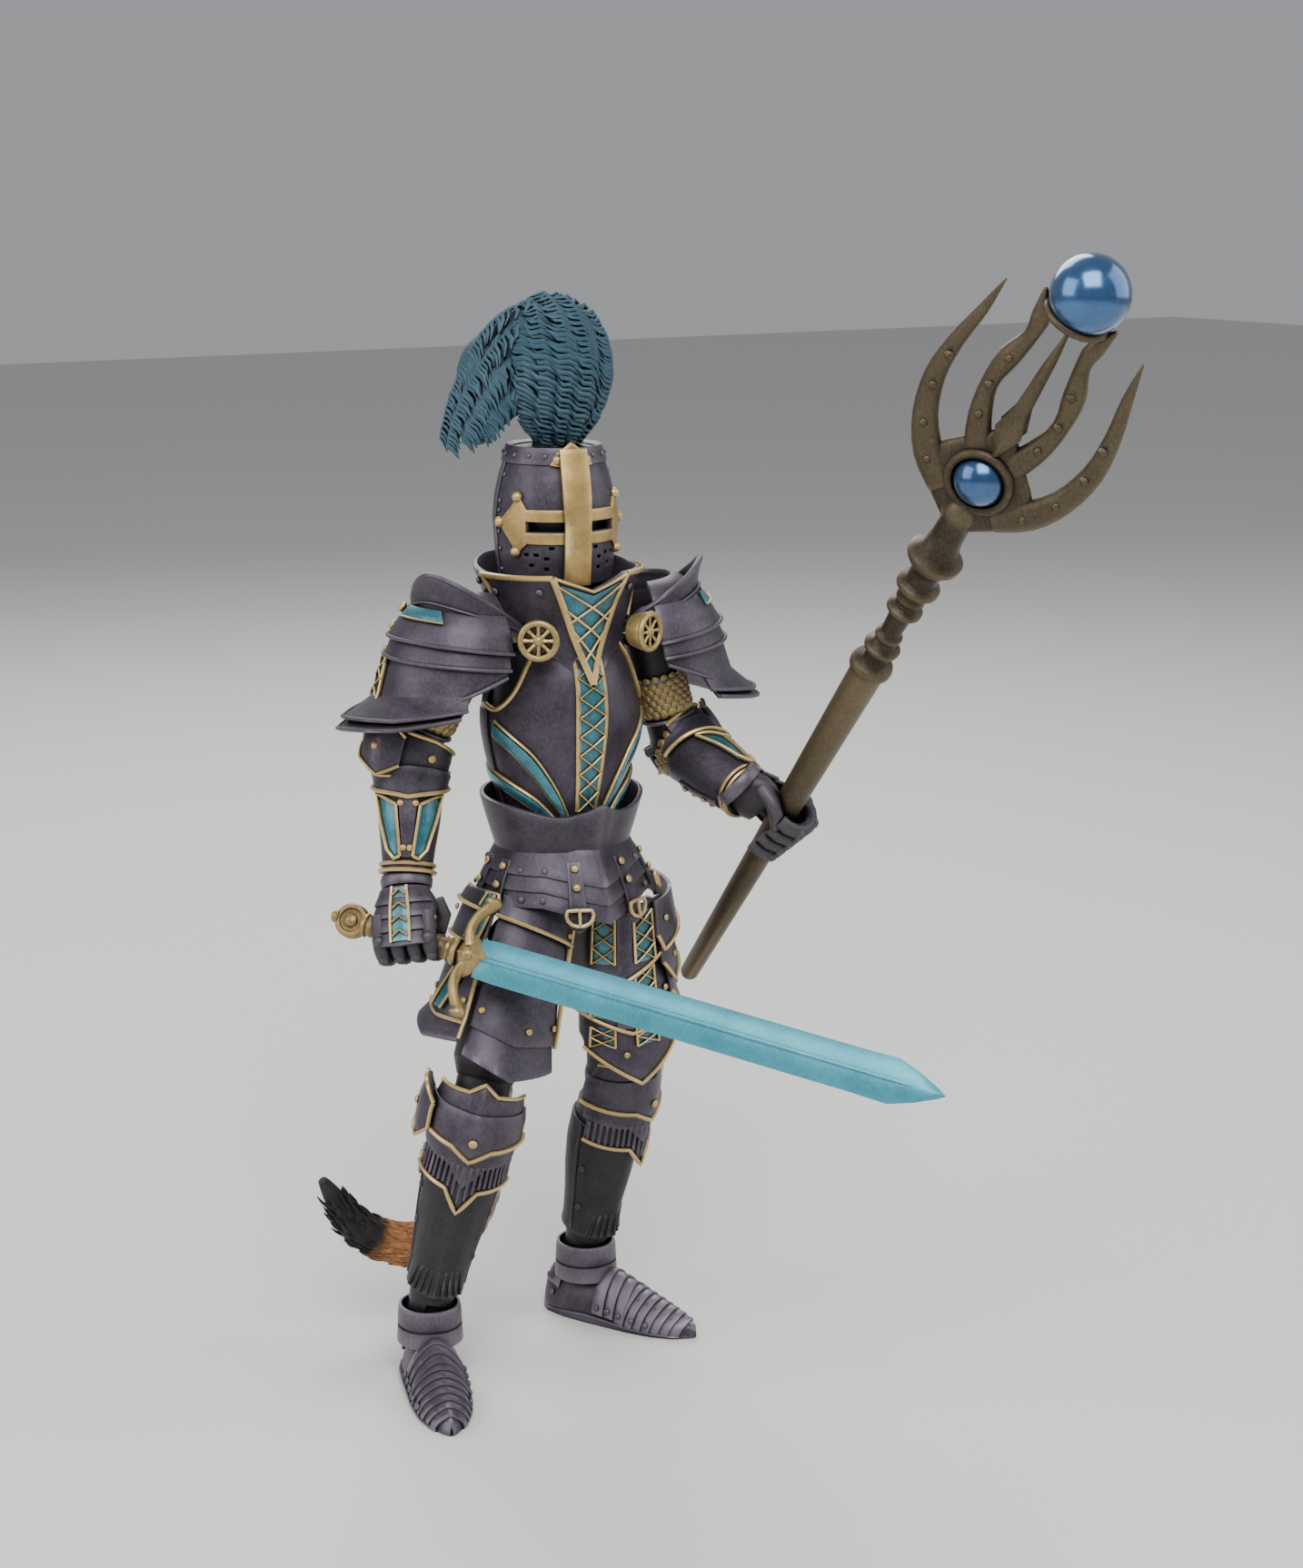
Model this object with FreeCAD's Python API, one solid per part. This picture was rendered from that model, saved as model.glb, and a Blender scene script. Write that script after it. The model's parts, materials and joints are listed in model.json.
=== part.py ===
"""Articulated armoured-knight action figure with sword and staff, in millimetres.

+Z is up and the figure faces -Y, so +X is the figure's own left.  Every limb is built in the
frame of its own bone and then placed.  The finished figure stands with the origin under the
centre of its bounding box.
"""
import FreeCAD
import Part
import math
import os

V = FreeCAD.Vector

# ---- fits ----------------------------------------------------------------------------------
RUN_GAP = 0.06        # radial gap of a pin or axle in its bore
FACE_GAP = 0.15       # gap beside a hinge disc
TURN_GAP = 0.4        # gap between a rounded joint end and the next piece

# ---- hinge pegs: disc radius, disc thickness (the axle is half as thick), trunnion radius ----
LEG_DISC = (3.6, 3.6, 1.0)
ARM_DISC = (2.8, 2.8, 0.8)
WRIST_DISC = (1.7, 1.8, 0.5)
SMALL_DISC = (2.6, 2.8, 0.8)     # neck and ankles
WAIST_DISC = (4.0, 4.0, 1.2)

# ---- skeleton, figure standing at rest ------------------------------------------------------
TORSO_YAW = -6.0
HEAD_YAW = -12.0
WAIST = V(0, 1, 99)
NECK_Y = 2.5
NECK_Z = 146.0
SHOULDER_HALF = 17.0
SHOULDER_Z = 132.3
HIP_HALF = 10.0
HIP_Y = 0.5
HIP_Z = 79.5
ANKLE_Z = 14.0
KNEE = {-1: V(-20.5, -3.6, 51.0), 1: V(12.0, 3.6, 50.0)}
ANKLE = {-1: V(-26.5, 4.0, ANKLE_Z), 1: V(12.2, 13.8, ANKLE_Z)}
FOOT_YAW = {-1: -20.0, 1: 25.0}
ELBOW = {-1: V(-25.2, 8.9, 113.2), 1: V(22.5, -0.6, 111.6)}
WRIST = {-1: V(-30.2, 2.3, 91.8), 1: V(25.4, -21.2, 104.7)}
FIST = {-1: V(-32.0, -1.6, 83.9), 1: V(28.7, -23.8, 100.6)}
SWORD_AXIS = V(0.613, -0.767, -0.190)
STAFF_AXIS = V(-0.021, -0.642, 0.768)
SIDE_NAME = {-1: "R", 1: "L"}

# ---- outer sizes ----------------------------------------------------------------------------
UPPER_ARM_R = 4.2
FOREARM_TOP_R = 4.6
FOREARM_LOW_R = 3.7
CUFF_WALL = 0.9
THIGH_R = 6.2
CALF_R = 6.0
SHIN_LOW_R = 4.4
ARM_ROUND = 4.4
HIP_ROUND = 4.9
KNEE_ROUND = 5.2
WRIST_ROUND = 2.8
ANKLE_ROUND = 3.9
HELMET_R = 10.6
HELMET_TOP = 165.0
BLADE_LENGTH = 82.0
BLADE_WIDTH = 7.6
BLADE_THICK = 2.2
GRIP_R = 1.7
STAFF_LOW_R = 1.7
STAFF_TOP_R = 3.0
STAFF_BELOW = 46.0
STAFF_ABOVE = 41.0
STAFF_PEARL_AT = 121.5
PEARL_R = 5.9
SMALL_PEARL_R = 4.4
SOLE_HOLE_R = 1.5
SOLE_HOLE_DEPTH = 4.8
SOLE_HOLE_Y = -7.5
FOOT_LENGTH_FRONT = 24.0
FOOT_LENGTH_BACK = 8.5

# ---- trunk sections (half width, half depth, height) ----------------------------------------
CHEST = [(10.4, 8.0, 101), (10.8, 8.6, 106), (13.2, 10.2, 113), (14.0, 11.6, 119),
         (12.9, 11.6, 125), (12.0, 10.2, 130), (9.6, 8.4, 134)]
CHEST_WALL = 1.5
CHEST_Y = 1.5
BELT_TOP = 95.4
BELT_LOW = 85.4
STRAP_TURNS = (-100.0, -76.0, -18.0, 22.0, 62.0, 100.0)
HELMET = [(9.9, 10.3, 142.6), (HELMET_R, 11.0, 153), (9.4, 9.9, 160), (7.8, 8.4, HELMET_TOP)]
HELMET_Y = 3.5
HELMET_WALL = 1.0

# ---- hanging plates and tail ------------------------------------------------------------------
TASSET_FRONT_R = 8.0
TASSET_SIDE_R = 9.4
TASSET_WALL = 1.0
TASSET_CAP = 84.2      # nothing of a hanging plate stands above this height
TAIL_ROOT = V(0, 6.2, 80)
TAIL_PEG_R = 1.5
TAIL_PATH = [V(0, 8.8, 80), V(-0.4, 12.4, 77.0), V(-1.2, 17.0, 68), V(-3.0, 20.0, 56), V(-5.0, 22.0, 44),
             V(-8.0, 24.0, 31), V(-13.0, 26.0, 20), V(-21.0, 27.0, 16.5), V(-29.0, 27.0, 21.5),
             V(-36.0, 26.5, 32)]
TAIL_RADII = [2.2, 2.8, 3.2, 3.6, 4.0, 4.3, 4.4, 4.3, 4.0, 1.6]

NODES = {}


# ---- placing --------------------------------------------------------------------------------
def unit(vector):
    return V(vector).normalize()


def frame(origin, down, side):
    """A placement whose -Z runs along down and whose X lies as close to side as it can."""
    z = unit(down) * -1
    x = unit(side - z * side.dot(z))
    y = z.cross(x)
    return FreeCAD.Placement(FreeCAD.Matrix(
        x.x, y.x, z.x, origin.x,
        x.y, y.y, z.y, origin.y,
        x.z, y.z, z.z, origin.z,
        0, 0, 0, 1))


def turned(yaw, about):
    """A placement that turns by yaw about the vertical through a point."""
    return FreeCAD.Placement(V(), FreeCAD.Rotation(V(0, 0, 1), yaw), about)


def put(shape, placement):
    return shape.transformed(placement.toMatrix(), True)


# ---- plain solids ---------------------------------------------------------------------------
def box(x, y, z):
    """A block between three pairs of limits."""
    return Part.makeBox(x[1] - x[0], y[1] - y[0], z[1] - z[0], V(x[0], y[0], z[0]))


def rod(radius, low, high, axis="z", at=V()):
    """A cylinder along one axis between two limits."""
    way = {"x": V(1, 0, 0), "y": V(0, 1, 0), "z": V(0, 0, 1)}[axis]
    return Part.makeCylinder(radius, high - low, at + way * low, way)


def cone(low_r, high_r, low, high):
    return Part.makeCone(low_r, high_r, high - low, V(0, 0, low), V(0, 0, 1))


def ball(radius, at=V()):
    return Part.makeSphere(radius, at)


def oval(half_x, half_y, z, x=0.0, y=0.0):
    """A closed oval wire in a level plane."""
    scale = FreeCAD.Matrix()
    scale.scale(half_x, half_y, 1)
    scale.move(V(x, y, z))
    edge = Part.makeCircle(1.0).transformGeometry(scale).Edges[0]
    return Part.Wire([edge])


def oval_loft(sections, grow=0.0, y=0.0):
    """A solid through ovals (half_x, half_y, z), each grown by the same amount."""
    wires = [oval(a + grow, b + grow, z, 0.0, y) for a, b, z in sections]
    return Part.makeLoft(wires, True, True)


def sleeve(sections, wall, y=0.0):
    """An open shell through ovals."""
    low = sections[0]
    high = sections[-1]
    inner = [(low[0], low[1], low[2] - 0.01)] + list(sections[1:-1]) + [(high[0], high[1], high[2] + 0.01)]
    return oval_loft(sections, 0.0, y).cut(oval_loft(inner, -wall, y))


def lathe(points):
    """A solid of revolution about Z through (radius, z) points from the bottom up."""
    corners = [V(0, 0, points[0][1])] + [V(r, 0, z) for r, z in points] + [V(0, 0, points[-1][1])]
    corners = [c for i, c in enumerate(corners) if i == 0 or (c - corners[i - 1]).Length > 1e-6]
    outline = Part.makePolygon(corners + [corners[0]])
    return Part.Face(outline).revolve(V(), V(0, 0, 1), 360)


def extruded(points, thickness):
    """A flat plate in the XZ plane, centred on y = 0."""
    outline = Part.makePolygon([V(x, -thickness / 2, z) for x, z in points + [points[0]]])
    return Part.Face(outline).extrude(V(0, thickness, 0))


def largest(shape):
    return max(shape.Solids, key=lambda solid: solid.Volume)


def fused(shapes):
    return shapes[0].multiFuse(shapes[1:]).removeSplitter()


# ---- hinge parts ----------------------------------------------------------------------------
def hinge_peg(disc, axle_length, pinned=True, trunnion=0.0):
    """A disc on X with an axle down -Z; trunnions stand out of the disc, or a pin hole goes through."""
    radius, thick, pin_r = disc
    body = rod(radius, -thick / 2, thick / 2, "x").fuse(rod(thick / 2, -axle_length, 0))
    if pinned:
        return body.cut(rod(pin_r, -thick, thick, "x"))
    return body.fuse(rod(pin_r, -trunnion, trunnion, "x"))


def fork_tool(disc, reach):
    """What a fork loses: the slot for a disc on X, open towards +Z, and its pin bore."""
    radius, thick, pin_r = disc
    half = thick / 2 + FACE_GAP
    slot = box((-half, half), (-reach, reach), (-thick / 2 - TURN_GAP, reach))
    well = rod(radius + TURN_GAP, -half, half, "x")
    return slot.fuse(well).fuse(rod(pin_r + RUN_GAP, -reach, reach, "x"))


def axle_bore(disc, depth):
    """The bore for an axle that comes in from +Z."""
    return rod(disc[1] / 2 + RUN_GAP, -depth, 30)


# ---- frames of the limbs --------------------------------------------------------------------
TORSO = turned(TORSO_YAW, WAIST)
NECK = TORSO.multVec(V(0, NECK_Y, NECK_Z))
HEAD = FreeCAD.Placement(NECK, FreeCAD.Rotation(V(0, 0, 1), HEAD_YAW))
HEAD = HEAD * FreeCAD.Placement(V(0, -NECK_Y, -NECK_Z), FreeCAD.Rotation())
TORSO_X = TORSO.Rotation.multVec(V(1, 0, 0))
HEAD_X = HEAD.Rotation.multVec(V(1, 0, 0))
HIP = {s: V(s * HIP_HALF, HIP_Y, HIP_Z) for s in (-1, 1)}
SHOULDER = {s: TORSO.multVec(V(s * SHOULDER_HALF, 2.5, SHOULDER_Z)) for s in (-1, 1)}
THIGH_WAY = {s: unit(KNEE[s] - HIP[s]) for s in (-1, 1)}
SHIN_WAY = {s: unit(ANKLE[s] - KNEE[s]) for s in (-1, 1)}
UPPER_WAY = {s: unit(ELBOW[s] - SHOULDER[s]) for s in (-1, 1)}
FORE_WAY = {s: unit(WRIST[s] - ELBOW[s]) for s in (-1, 1)}
KNEE_AXIS = {s: unit(THIGH_WAY[s].cross(SHIN_WAY[s])) for s in (-1, 1)}
ELBOW_AXIS = {s: unit(FORE_WAY[s].cross(UPPER_WAY[s])) for s in (-1, 1)}
HIP_ABDUCT = {s: unit(V(1, 0, 0).cross(THIGH_WAY[s])) for s in (-1, 1)}
SHOULDER_ABDUCT = {s: unit(TORSO_X.cross(UPPER_WAY[s])) for s in (-1, 1)}
FOOT_X = {s: FreeCAD.Rotation(V(0, 0, 1), FOOT_YAW[s]).multVec(V(1, 0, 0)) for s in (-1, 1)}
ANKLE_AXIS = {s: unit(FOOT_X[s] - SHIN_WAY[s] * FOOT_X[s].dot(SHIN_WAY[s])) for s in (-1, 1)}
ANKLE_WAY = {s: unit(ANKLE_AXIS[s] * ANKLE_AXIS[s].z - V(0, 0, 1)) for s in (-1, 1)}
HAND_WAY = {s: unit(FIST[s] - WRIST[s]) for s in (-1, 1)}
GRIP_AXIS = {-1: unit(SWORD_AXIS), 1: unit(STAFF_AXIS)}
WRIST_AXIS = {s: unit(FORE_WAY[s].cross(HAND_WAY[s])) * s for s in (-1, 1)}

# ---- trunk ----------------------------------------------------------------------------------


def make_pelvis():
    pelvis = oval_loft([(10.5, 8.0, 85.2), (10.8, 8.4, 92.5)], 0.0, 1.0)
    pelvis = pelvis.fuse(box((-4.6, 4.6), (-5.0, 6.0), (74.0, 86.0)))
    pelvis = pelvis.cut(rod(LEG_DISC[1] / 2 + RUN_GAP, -12, 12, "x", V(0, HIP_Y, HIP_Z)))
    pelvis = pelvis.fuse(box((-1.5, 1.5), (-3, 4), (77, 82)))
    pelvis = pelvis.cut(rod(WAIST_DISC[1] / 2 + RUN_GAP, 84.0, 93, "z", V(0, WAIST.y, 0)))
    pelvis = pelvis.cut(rod(TAIL_PEG_R + RUN_GAP, 1.4, 8.0, "y", V(0, 0, TAIL_ROOT.z)))
    NODES["pelvis_block"] = pelvis
    lames = [oval_loft([(15.6, 12.6, BELT_LOW), (14.6, 11.6, 88.6)], 0.0, 1.0)]
    lames.append(oval_loft([(15.0, 12.0, 88.6), (13.6, 10.8, 91.6)], 0.0, 1.0))
    lames.append(oval_loft([(14.0, 11.2, 91.6), (12.2, 9.6, BELT_TOP)], 0.0, 1.0))
    hollow = oval_loft([(10.5, 8.0, 85.2), (10.8, 8.4, 92.5)], 0.0, 1.0)
    hollow = hollow.fuse(oval_loft([(10.8, 8.4, 92.5), (11.2, 8.6, 96.0)], 0.0, 1.0))
    NODES["belt_lames"] = fused(lames).cut(hollow)
    straps = []
    for angle in STRAP_TURNS:
        turn = FreeCAD.Placement(V(), FreeCAD.Rotation(V(0, 0, 1), angle), V(0, 1, 0))
        reach = 1.0 / math.hypot(math.cos(math.radians(angle)), 12.6 / 15.6 * math.sin(math.radians(angle)))
        piece = box((-1.2, 1.2), (-12.9 * reach, -11.0 * reach), (86.2, 91.4))
        straps.append(put(piece, turn).cut(NODES["belt_lames"]))
    NODES["belt_straps"] = Part.makeCompound([p for s in straps for p in s.Solids if p.Volume > 1.0])
    guard = [(12.2, 9.6, BELT_TOP), (13.0, 10.8, 99.0), (14.6, 12.6, 104.5)]
    NODES["waist_guard"] = sleeve(guard, 1.0, 1.0)
    peg = hinge_peg(WAIST_DISC, 14.8, False, 5.6)
    NODES["waist_peg"] = put(peg, frame(WAIST, V(0, 0, -1), TORSO_X))


def make_torso():
    shell = oval_loft(CHEST, 0.0, CHEST_Y)
    core = oval_loft(CHEST[:-1] + [(9.0, 7.8, 133.6)], -CHEST_WALL, CHEST_Y)
    armholes = [ball(5.2, V(s * SHOULDER_HALF, 2.5, SHOULDER_Z)) for s in (-1, 1)]
    for hole in armholes:
        shell = shell.cut(hole)
        core = core.cut(hole)
    axle = rod(ARM_DISC[1] / 2 + RUN_GAP, -20, 20, "x", V(0, 2.5, SHOULDER_Z))
    core = core.cut(axle).fuse(box((-3, 3), (0, 5), (130, 133.4)))
    shell = shell.cut(axle).cut(core)
    shell = shell.cut(rod(3.2, 130, 140, "z", V(0, NECK_Y, 0)))
    neck_bore = rod(1.8 + RUN_GAP, 124.9, 140, "z", V(0, NECK_Y, 0))
    core = core.cut(neck_bore)
    waist_end = ball(6.0, V(WAIST.x, WAIST.y, WAIST.z)).fuse(rod(6.0, WAIST.z, 108, "z", V(0, WAIST.y, 0)))
    core = core.cut(box((-20, 20), (-20, 20), (90, 103.0))).fuse(waist_end)
    waist_fork = fork_tool(WAIST_DISC, 6.4)
    waist_place = FreeCAD.Placement(WAIST, FreeCAD.Rotation(V(1, 0, 0), 180))
    core = core.cut(put(waist_fork, waist_place))
    shell = shell.cut(rod(6.0, 90, 103, "z", V(0, WAIST.y, 0)))
    front = shell.common(box((-30, 30), (-30, CHEST_Y), (90, 150)))
    back = shell.common(box((-30, 30), (CHEST_Y, 30), (90, 150)))
    NODES["torso_core"] = put(core, TORSO)
    NODES["chest_front"] = put(front, TORSO)
    NODES["chest_back"] = put(back, TORSO)
    collar = sleeve([(9.8, 8.6, 131.6), (12.2, 11.6, 137.5), (14.2, 13.4, 143.6)], 1.0, 2.2)
    collar = collar.cut(oval_loft(CHEST, 0.02, CHEST_Y)).cut(axle)
    for hole in armholes:
        collar = collar.cut(hole)
    wedge = extruded([(0, 132.5), (4.5, 146), (-4.5, 146)], 24)
    wedge.translate(V(0, -14, 0))
    collar = collar.cut(wedge)
    NODES["gorget"] = put(collar, TORSO)
    peg = hinge_peg(SMALL_DISC, NECK_Z - 125.2, False, 4.2)
    peg = peg.fuse(rod(1.8, -(NECK_Z - 125.2), -4.6)).fuse(rod(2.8, -11.6, -5.0))
    NODES["neck_peg"] = put(peg, frame(NECK, V(0, 0, -1), HEAD_X))


def make_rosettes():
    wheels = []
    for s in (-1, 1):
        wheel = rod(3.3, -0.6, 0.6, "y").fuse(rod(0.7, 0, 3.0, "y"))
        place = FreeCAD.Placement(V(s * 9.6, -9.6, 134.8), FreeCAD.Rotation(V(0, 0, 1), s * 24))
        wheels.append(put(put(wheel, place), TORSO).cut(NODES["chest_front"]).cut(NODES["gorget"]))
    NODES["rosettes"] = Part.makeCompound([largest(w) for w in wheels])


# ---- head -----------------------------------------------------------------------------------


def make_head():
    outer = oval_loft(HELMET, 0.0, HELMET_Y)
    inner = oval_loft(HELMET[:-1] + [(8.0, 8.6, HELMET_TOP - HELMET_WALL)], -HELMET_WALL, HELMET_Y)
    shell = outer.cut(inner).cut(rod(1.6, 150, 170, "z", V(0, HELMET_Y, 0)))
    slits = box((-8.5, -1.6), (-12, 0), (151.6, 153.2)).fuse(box((1.6, 8.5), (-12, 0), (151.6, 153.2)))
    shell = shell.cut(slits)
    core = oval_loft([(7.4, 7.8, 146), (8.6, 9.0, 153), (7.6, 8.0, 160), (6.6, 7.2, 164)], 0.0, HELMET_Y)
    pivot = V(0, NECK_Y, NECK_Z)
    end = ball(4.8, pivot)
    fork = put(fork_tool(SMALL_DISC, 4.9), FreeCAD.Placement(pivot, FreeCAD.Rotation(V(1, 0, 0), 180)))
    core = core.fuse(end).cut(fork).cut(rod(1.6 + RUN_GAP, 156, 170, "z", V(0, HELMET_Y, 0)))
    shell = shell.cut(core)
    bars = extruded([(-1.6, 143.0), (1.6, 143.0), (1.6, 165.2), (-1.6, 165.2)], 14)
    bars = bars.fuse(extruded([(-8.4, 149.6), (8.4, 149.6), (8.4, 155.2), (-8.4, 155.2)], 14))
    bars.translate(V(0, -6, 0))
    skin = oval_loft(HELMET, 0.6, HELMET_Y).cut(outer)
    cross = skin.common(bars).cut(slits)
    NODES["head_core"] = put(core, HEAD)
    NODES["helmet_shell"] = put(shell, HEAD)
    NODES["helmet_cross"] = put(largest(cross), HEAD)
    stem = rod(1.6, 157.5, HELMET_TOP + 8, "z", V(0, HELMET_Y, 0))
    collar = rod(3.6, HELMET_TOP + 0.1, HELMET_TOP + 8, "z", V(0, HELMET_Y, 0))
    tufts = ((10.4, 1.5, 6.0, 178.0), (8.4, -7.5, 8.2, 174.6), (5.2, -11.6, 10.6, 170.4))
    plume = stem.multiFuse([collar] + [ball(radius, V(x, y, z)) for radius, x, y, z in tufts])
    NODES["plume"] = put(plume, HEAD)


# ---- arms -----------------------------------------------------------------------------------
def cuff(radii, wall, low, high):
    """A conical open shell between two heights, bottom radius first."""
    return cone(radii[0], radii[1], low, high).cut(cone(radii[0] - wall, radii[1] - wall, low, high))


def make_arm(s):
    tag = SIDE_NAME[s]
    inward = TORSO_X * -s
    peg = hinge_peg(ARM_DISC, 10.5, False, 4.0)
    NODES["shoulder_peg_" + tag] = put(peg, frame(SHOULDER[s], inward, SHOULDER_ABDUCT[s]))

    length = (ELBOW[s] - SHOULDER[s]).Length
    upper = ball(ARM_ROUND).fuse(rod(UPPER_ARM_R, -length, 0)).fuse(ball(ARM_ROUND, V(0, 0, -length)))
    upper = put(upper, frame(SHOULDER[s], UPPER_WAY[s], ELBOW_AXIS[s]))
    upper = upper.cut(put(fork_tool(ARM_DISC, 4.8), frame(SHOULDER[s], UPPER_WAY[s], SHOULDER_ABDUCT[s])))
    side_slot = put(box((-ARM_DISC[1] / 2 - FACE_GAP, ARM_DISC[1] / 2 + FACE_GAP), (-1.9, 1.9), (0, 8)),
                    frame(SHOULDER[s], TORSO_X * s, SHOULDER_ABDUCT[s]))
    upper = upper.cut(side_slot)
    upper = upper.cut(put(fork_tool(ARM_DISC, 4.8), frame(ELBOW[s], UPPER_WAY[s] * -1, ELBOW_AXIS[s])))
    NODES["upper_arm_" + tag] = upper

    disc = put(hinge_peg(ARM_DISC, 12.0), frame(ELBOW[s], FORE_WAY[s], ELBOW_AXIS[s]))
    NODES["elbow_disc_" + tag] = disc
    pin = put(rod(ARM_DISC[2], -6.2, 6.2, "x"), frame(ELBOW[s], FORE_WAY[s], ELBOW_AXIS[s]))
    NODES["elbow_pin_" + tag] = pin
    cop = ball(6.8).cut(ball(5.9)).common(box((-9, 9), (-1.2, 9), (-3.3, 3.3)))
    side = (5.9, 6.8) if s > 0 else (-6.8, -5.9)
    wing = box(side, (-5.0, 5.0), (-2.6, 2.6))
    cop = cop.fuse(wing).cut(rod(ARM_DISC[2], -6.2, 6.2, "x"))
    NODES["couter_" + tag] = put(cop, frame(ELBOW[s], FORE_WAY[s], ELBOW_AXIS[s]))

    length = (WRIST[s] - ELBOW[s]).Length
    fore_place = frame(ELBOW[s], FORE_WAY[s], ELBOW_AXIS[s])
    top = -(ARM_ROUND + TURN_GAP)
    low = -(length - WRIST_ROUND - TURN_GAP)
    fore = cone(FOREARM_LOW_R - CUFF_WALL, FOREARM_TOP_R - CUFF_WALL, low, top)
    fore = fore.cut(axle_bore(ARM_DISC, 12.3)).cut(rod(WRIST_DISC[1] / 2 + RUN_GAP, low - 1, low + 3.6))
    NODES["forearm_" + tag] = put(fore, fore_place)
    vambrace = lathe([(FOREARM_LOW_R + 0.5, low), (FOREARM_LOW_R, low + 2.5),
                      (FOREARM_TOP_R + 0.6, top - 3.5), (FOREARM_TOP_R + 0.9, top)])
    NODES["vambrace_" + tag] = put(vambrace.cut(cone(FOREARM_LOW_R - CUFF_WALL, FOREARM_TOP_R - CUFF_WALL,
                                                     low, top)), fore_place)

    wrist = hinge_peg(WRIST_DISC, WRIST_ROUND + TURN_GAP + 3.3, False, 2.5)
    NODES["wrist_peg_" + tag] = put(wrist, frame(WRIST[s], FORE_WAY[s] * -1, WRIST_AXIS[s]))
    make_hand(s)


def make_hand(s):
    tag = SIDE_NAME[s]
    reach = (FIST[s] - WRIST[s]).Length
    palm = rod(2.7, -reach + 2.0, 0).fuse(ball(WRIST_ROUND))
    palm = put(palm, frame(WRIST[s], HAND_WAY[s], WRIST_AXIS[s]))
    fist_place = frame(FIST[s], HAND_WAY[s], GRIP_AXIS[s])
    fist = box((-4.2, 4.2), (-3.9, 3.9), (-4.0, 4.2))
    fist = fist.makeFillet(1.2, [e for e in fist.Edges if e.Length < 8.45])
    grip_place = frame(FIST[s], GRIP_AXIS[s] * -1, HAND_WAY[s])
    hand = put(fist, fist_place).fuse(palm)
    hand = hand.cut(put(fork_tool(WRIST_DISC, 3.1), frame(WRIST[s], HAND_WAY[s], WRIST_AXIS[s])))
    if s < 0:
        bore = rod(GRIP_R + RUN_GAP, -9, 9)
    else:
        slope = (STAFF_TOP_R - STAFF_LOW_R) / (STAFF_ABOVE + STAFF_BELOW)
        middle = STAFF_LOW_R + slope * STAFF_BELOW + RUN_GAP
        bore = cone(middle - 9 * slope, middle + 9 * slope, -9, 9)
    NODES["hand_" + tag] = hand.cut(put(bore, grip_place))


# ---- legs -----------------------------------------------------------------------------------
def make_leg(s):
    tag = SIDE_NAME[s]
    peg = hinge_peg(LEG_DISC, HIP_HALF - 1.9, False, 4.6)
    NODES["hip_peg_" + tag] = put(peg, frame(HIP[s], V(-s, 0, 0), HIP_ABDUCT[s]))

    length = (KNEE[s] - HIP[s]).Length
    thigh = ball(HIP_ROUND).fuse(rod(HIP_ROUND - 0.1, -length + 2, 0))
    thigh = thigh.fuse(ball(KNEE_ROUND, V(0, 0, -length)))
    thigh = thigh.fuse(lathe([(5.0, -length + 6), (THIGH_R, -length + 9), (THIGH_R, -9), (4.9, -6)]))
    thigh = put(thigh, frame(HIP[s], THIGH_WAY[s], KNEE_AXIS[s]))
    thigh = thigh.cut(put(fork_tool(LEG_DISC, 5.4), frame(HIP[s], THIGH_WAY[s], HIP_ABDUCT[s])))
    side_slot = box((-LEG_DISC[1] / 2 - FACE_GAP, LEG_DISC[1] / 2 + FACE_GAP), (-2.6, 2.6), (0, 8))
    thigh = thigh.cut(put(side_slot, frame(HIP[s], V(s, 0, 0), HIP_ABDUCT[s])))
    thigh = thigh.cut(put(fork_tool(LEG_DISC, 6.0), frame(KNEE[s], THIGH_WAY[s] * -1, KNEE_AXIS[s])))
    NODES["thigh_" + tag] = thigh

    shin_place = frame(KNEE[s], SHIN_WAY[s], KNEE_AXIS[s])
    NODES["knee_pin_" + tag] = put(rod(LEG_DISC[2], -7.2, 7.2, "x"), shin_place)
    cop = ball(8.1).cut(ball(6.9)).common(box((-9, 9), (-9, 1.6), (-5.0, 4.2)))
    side = (6.9, 8.1) if s > 0 else (-8.1, -6.9)
    cop = cop.fuse(box(side, (-2.0, 6.5), (-3.6, 3.6))).cut(rod(LEG_DISC[2], -7.2, 7.2, "x"))
    NODES["poleyn_" + tag] = put(cop, shin_place)

    length = (ANKLE[s] - KNEE[s]).Length
    top = -(KNEE_ROUND + TURN_GAP)
    shin = lathe([(3.9, -length), (SHIN_LOW_R, -length + 7), (CALF_R, top - 9), (CALF_R - 0.4, top)])
    shin = shin.fuse(ball(ANKLE_ROUND, V(0, 0, -length)))
    tongue = rod(LEG_DISC[0], -LEG_DISC[1] / 2, LEG_DISC[1] / 2, "x")
    tongue = tongue.fuse(box((-LEG_DISC[1] / 2, LEG_DISC[1] / 2), (-2.4, 2.4), (top - 0.5, 0)))
    shin = shin.fuse(tongue).cut(rod(LEG_DISC[2], -4, 4, "x"))
    shin = put(shin, shin_place)
    ankle_fork = frame(ANKLE[s], SHIN_WAY[s] * -1, ANKLE_AXIS[s])
    NODES["greave_" + tag] = shin.cut(put(fork_tool(SMALL_DISC, 4.4), ankle_fork))

    foot_place = frame(ANKLE[s], V(0, 0, -1), FOOT_X[s])
    peg = hinge_peg(SMALL_DISC, 8.6, False, 3.2)
    NODES["ankle_peg_" + tag] = put(peg, frame(ANKLE[s], ANKLE_WAY[s], ANKLE_AXIS[s]))
    bore = put(rod(SMALL_DISC[1] / 2 + RUN_GAP, -8.8, 4), frame(ANKLE[s], ANKLE_WAY[s], ANKLE_AXIS[s]))
    NODES["sabaton_" + tag] = put(make_foot(), foot_place).cut(bore)


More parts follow.
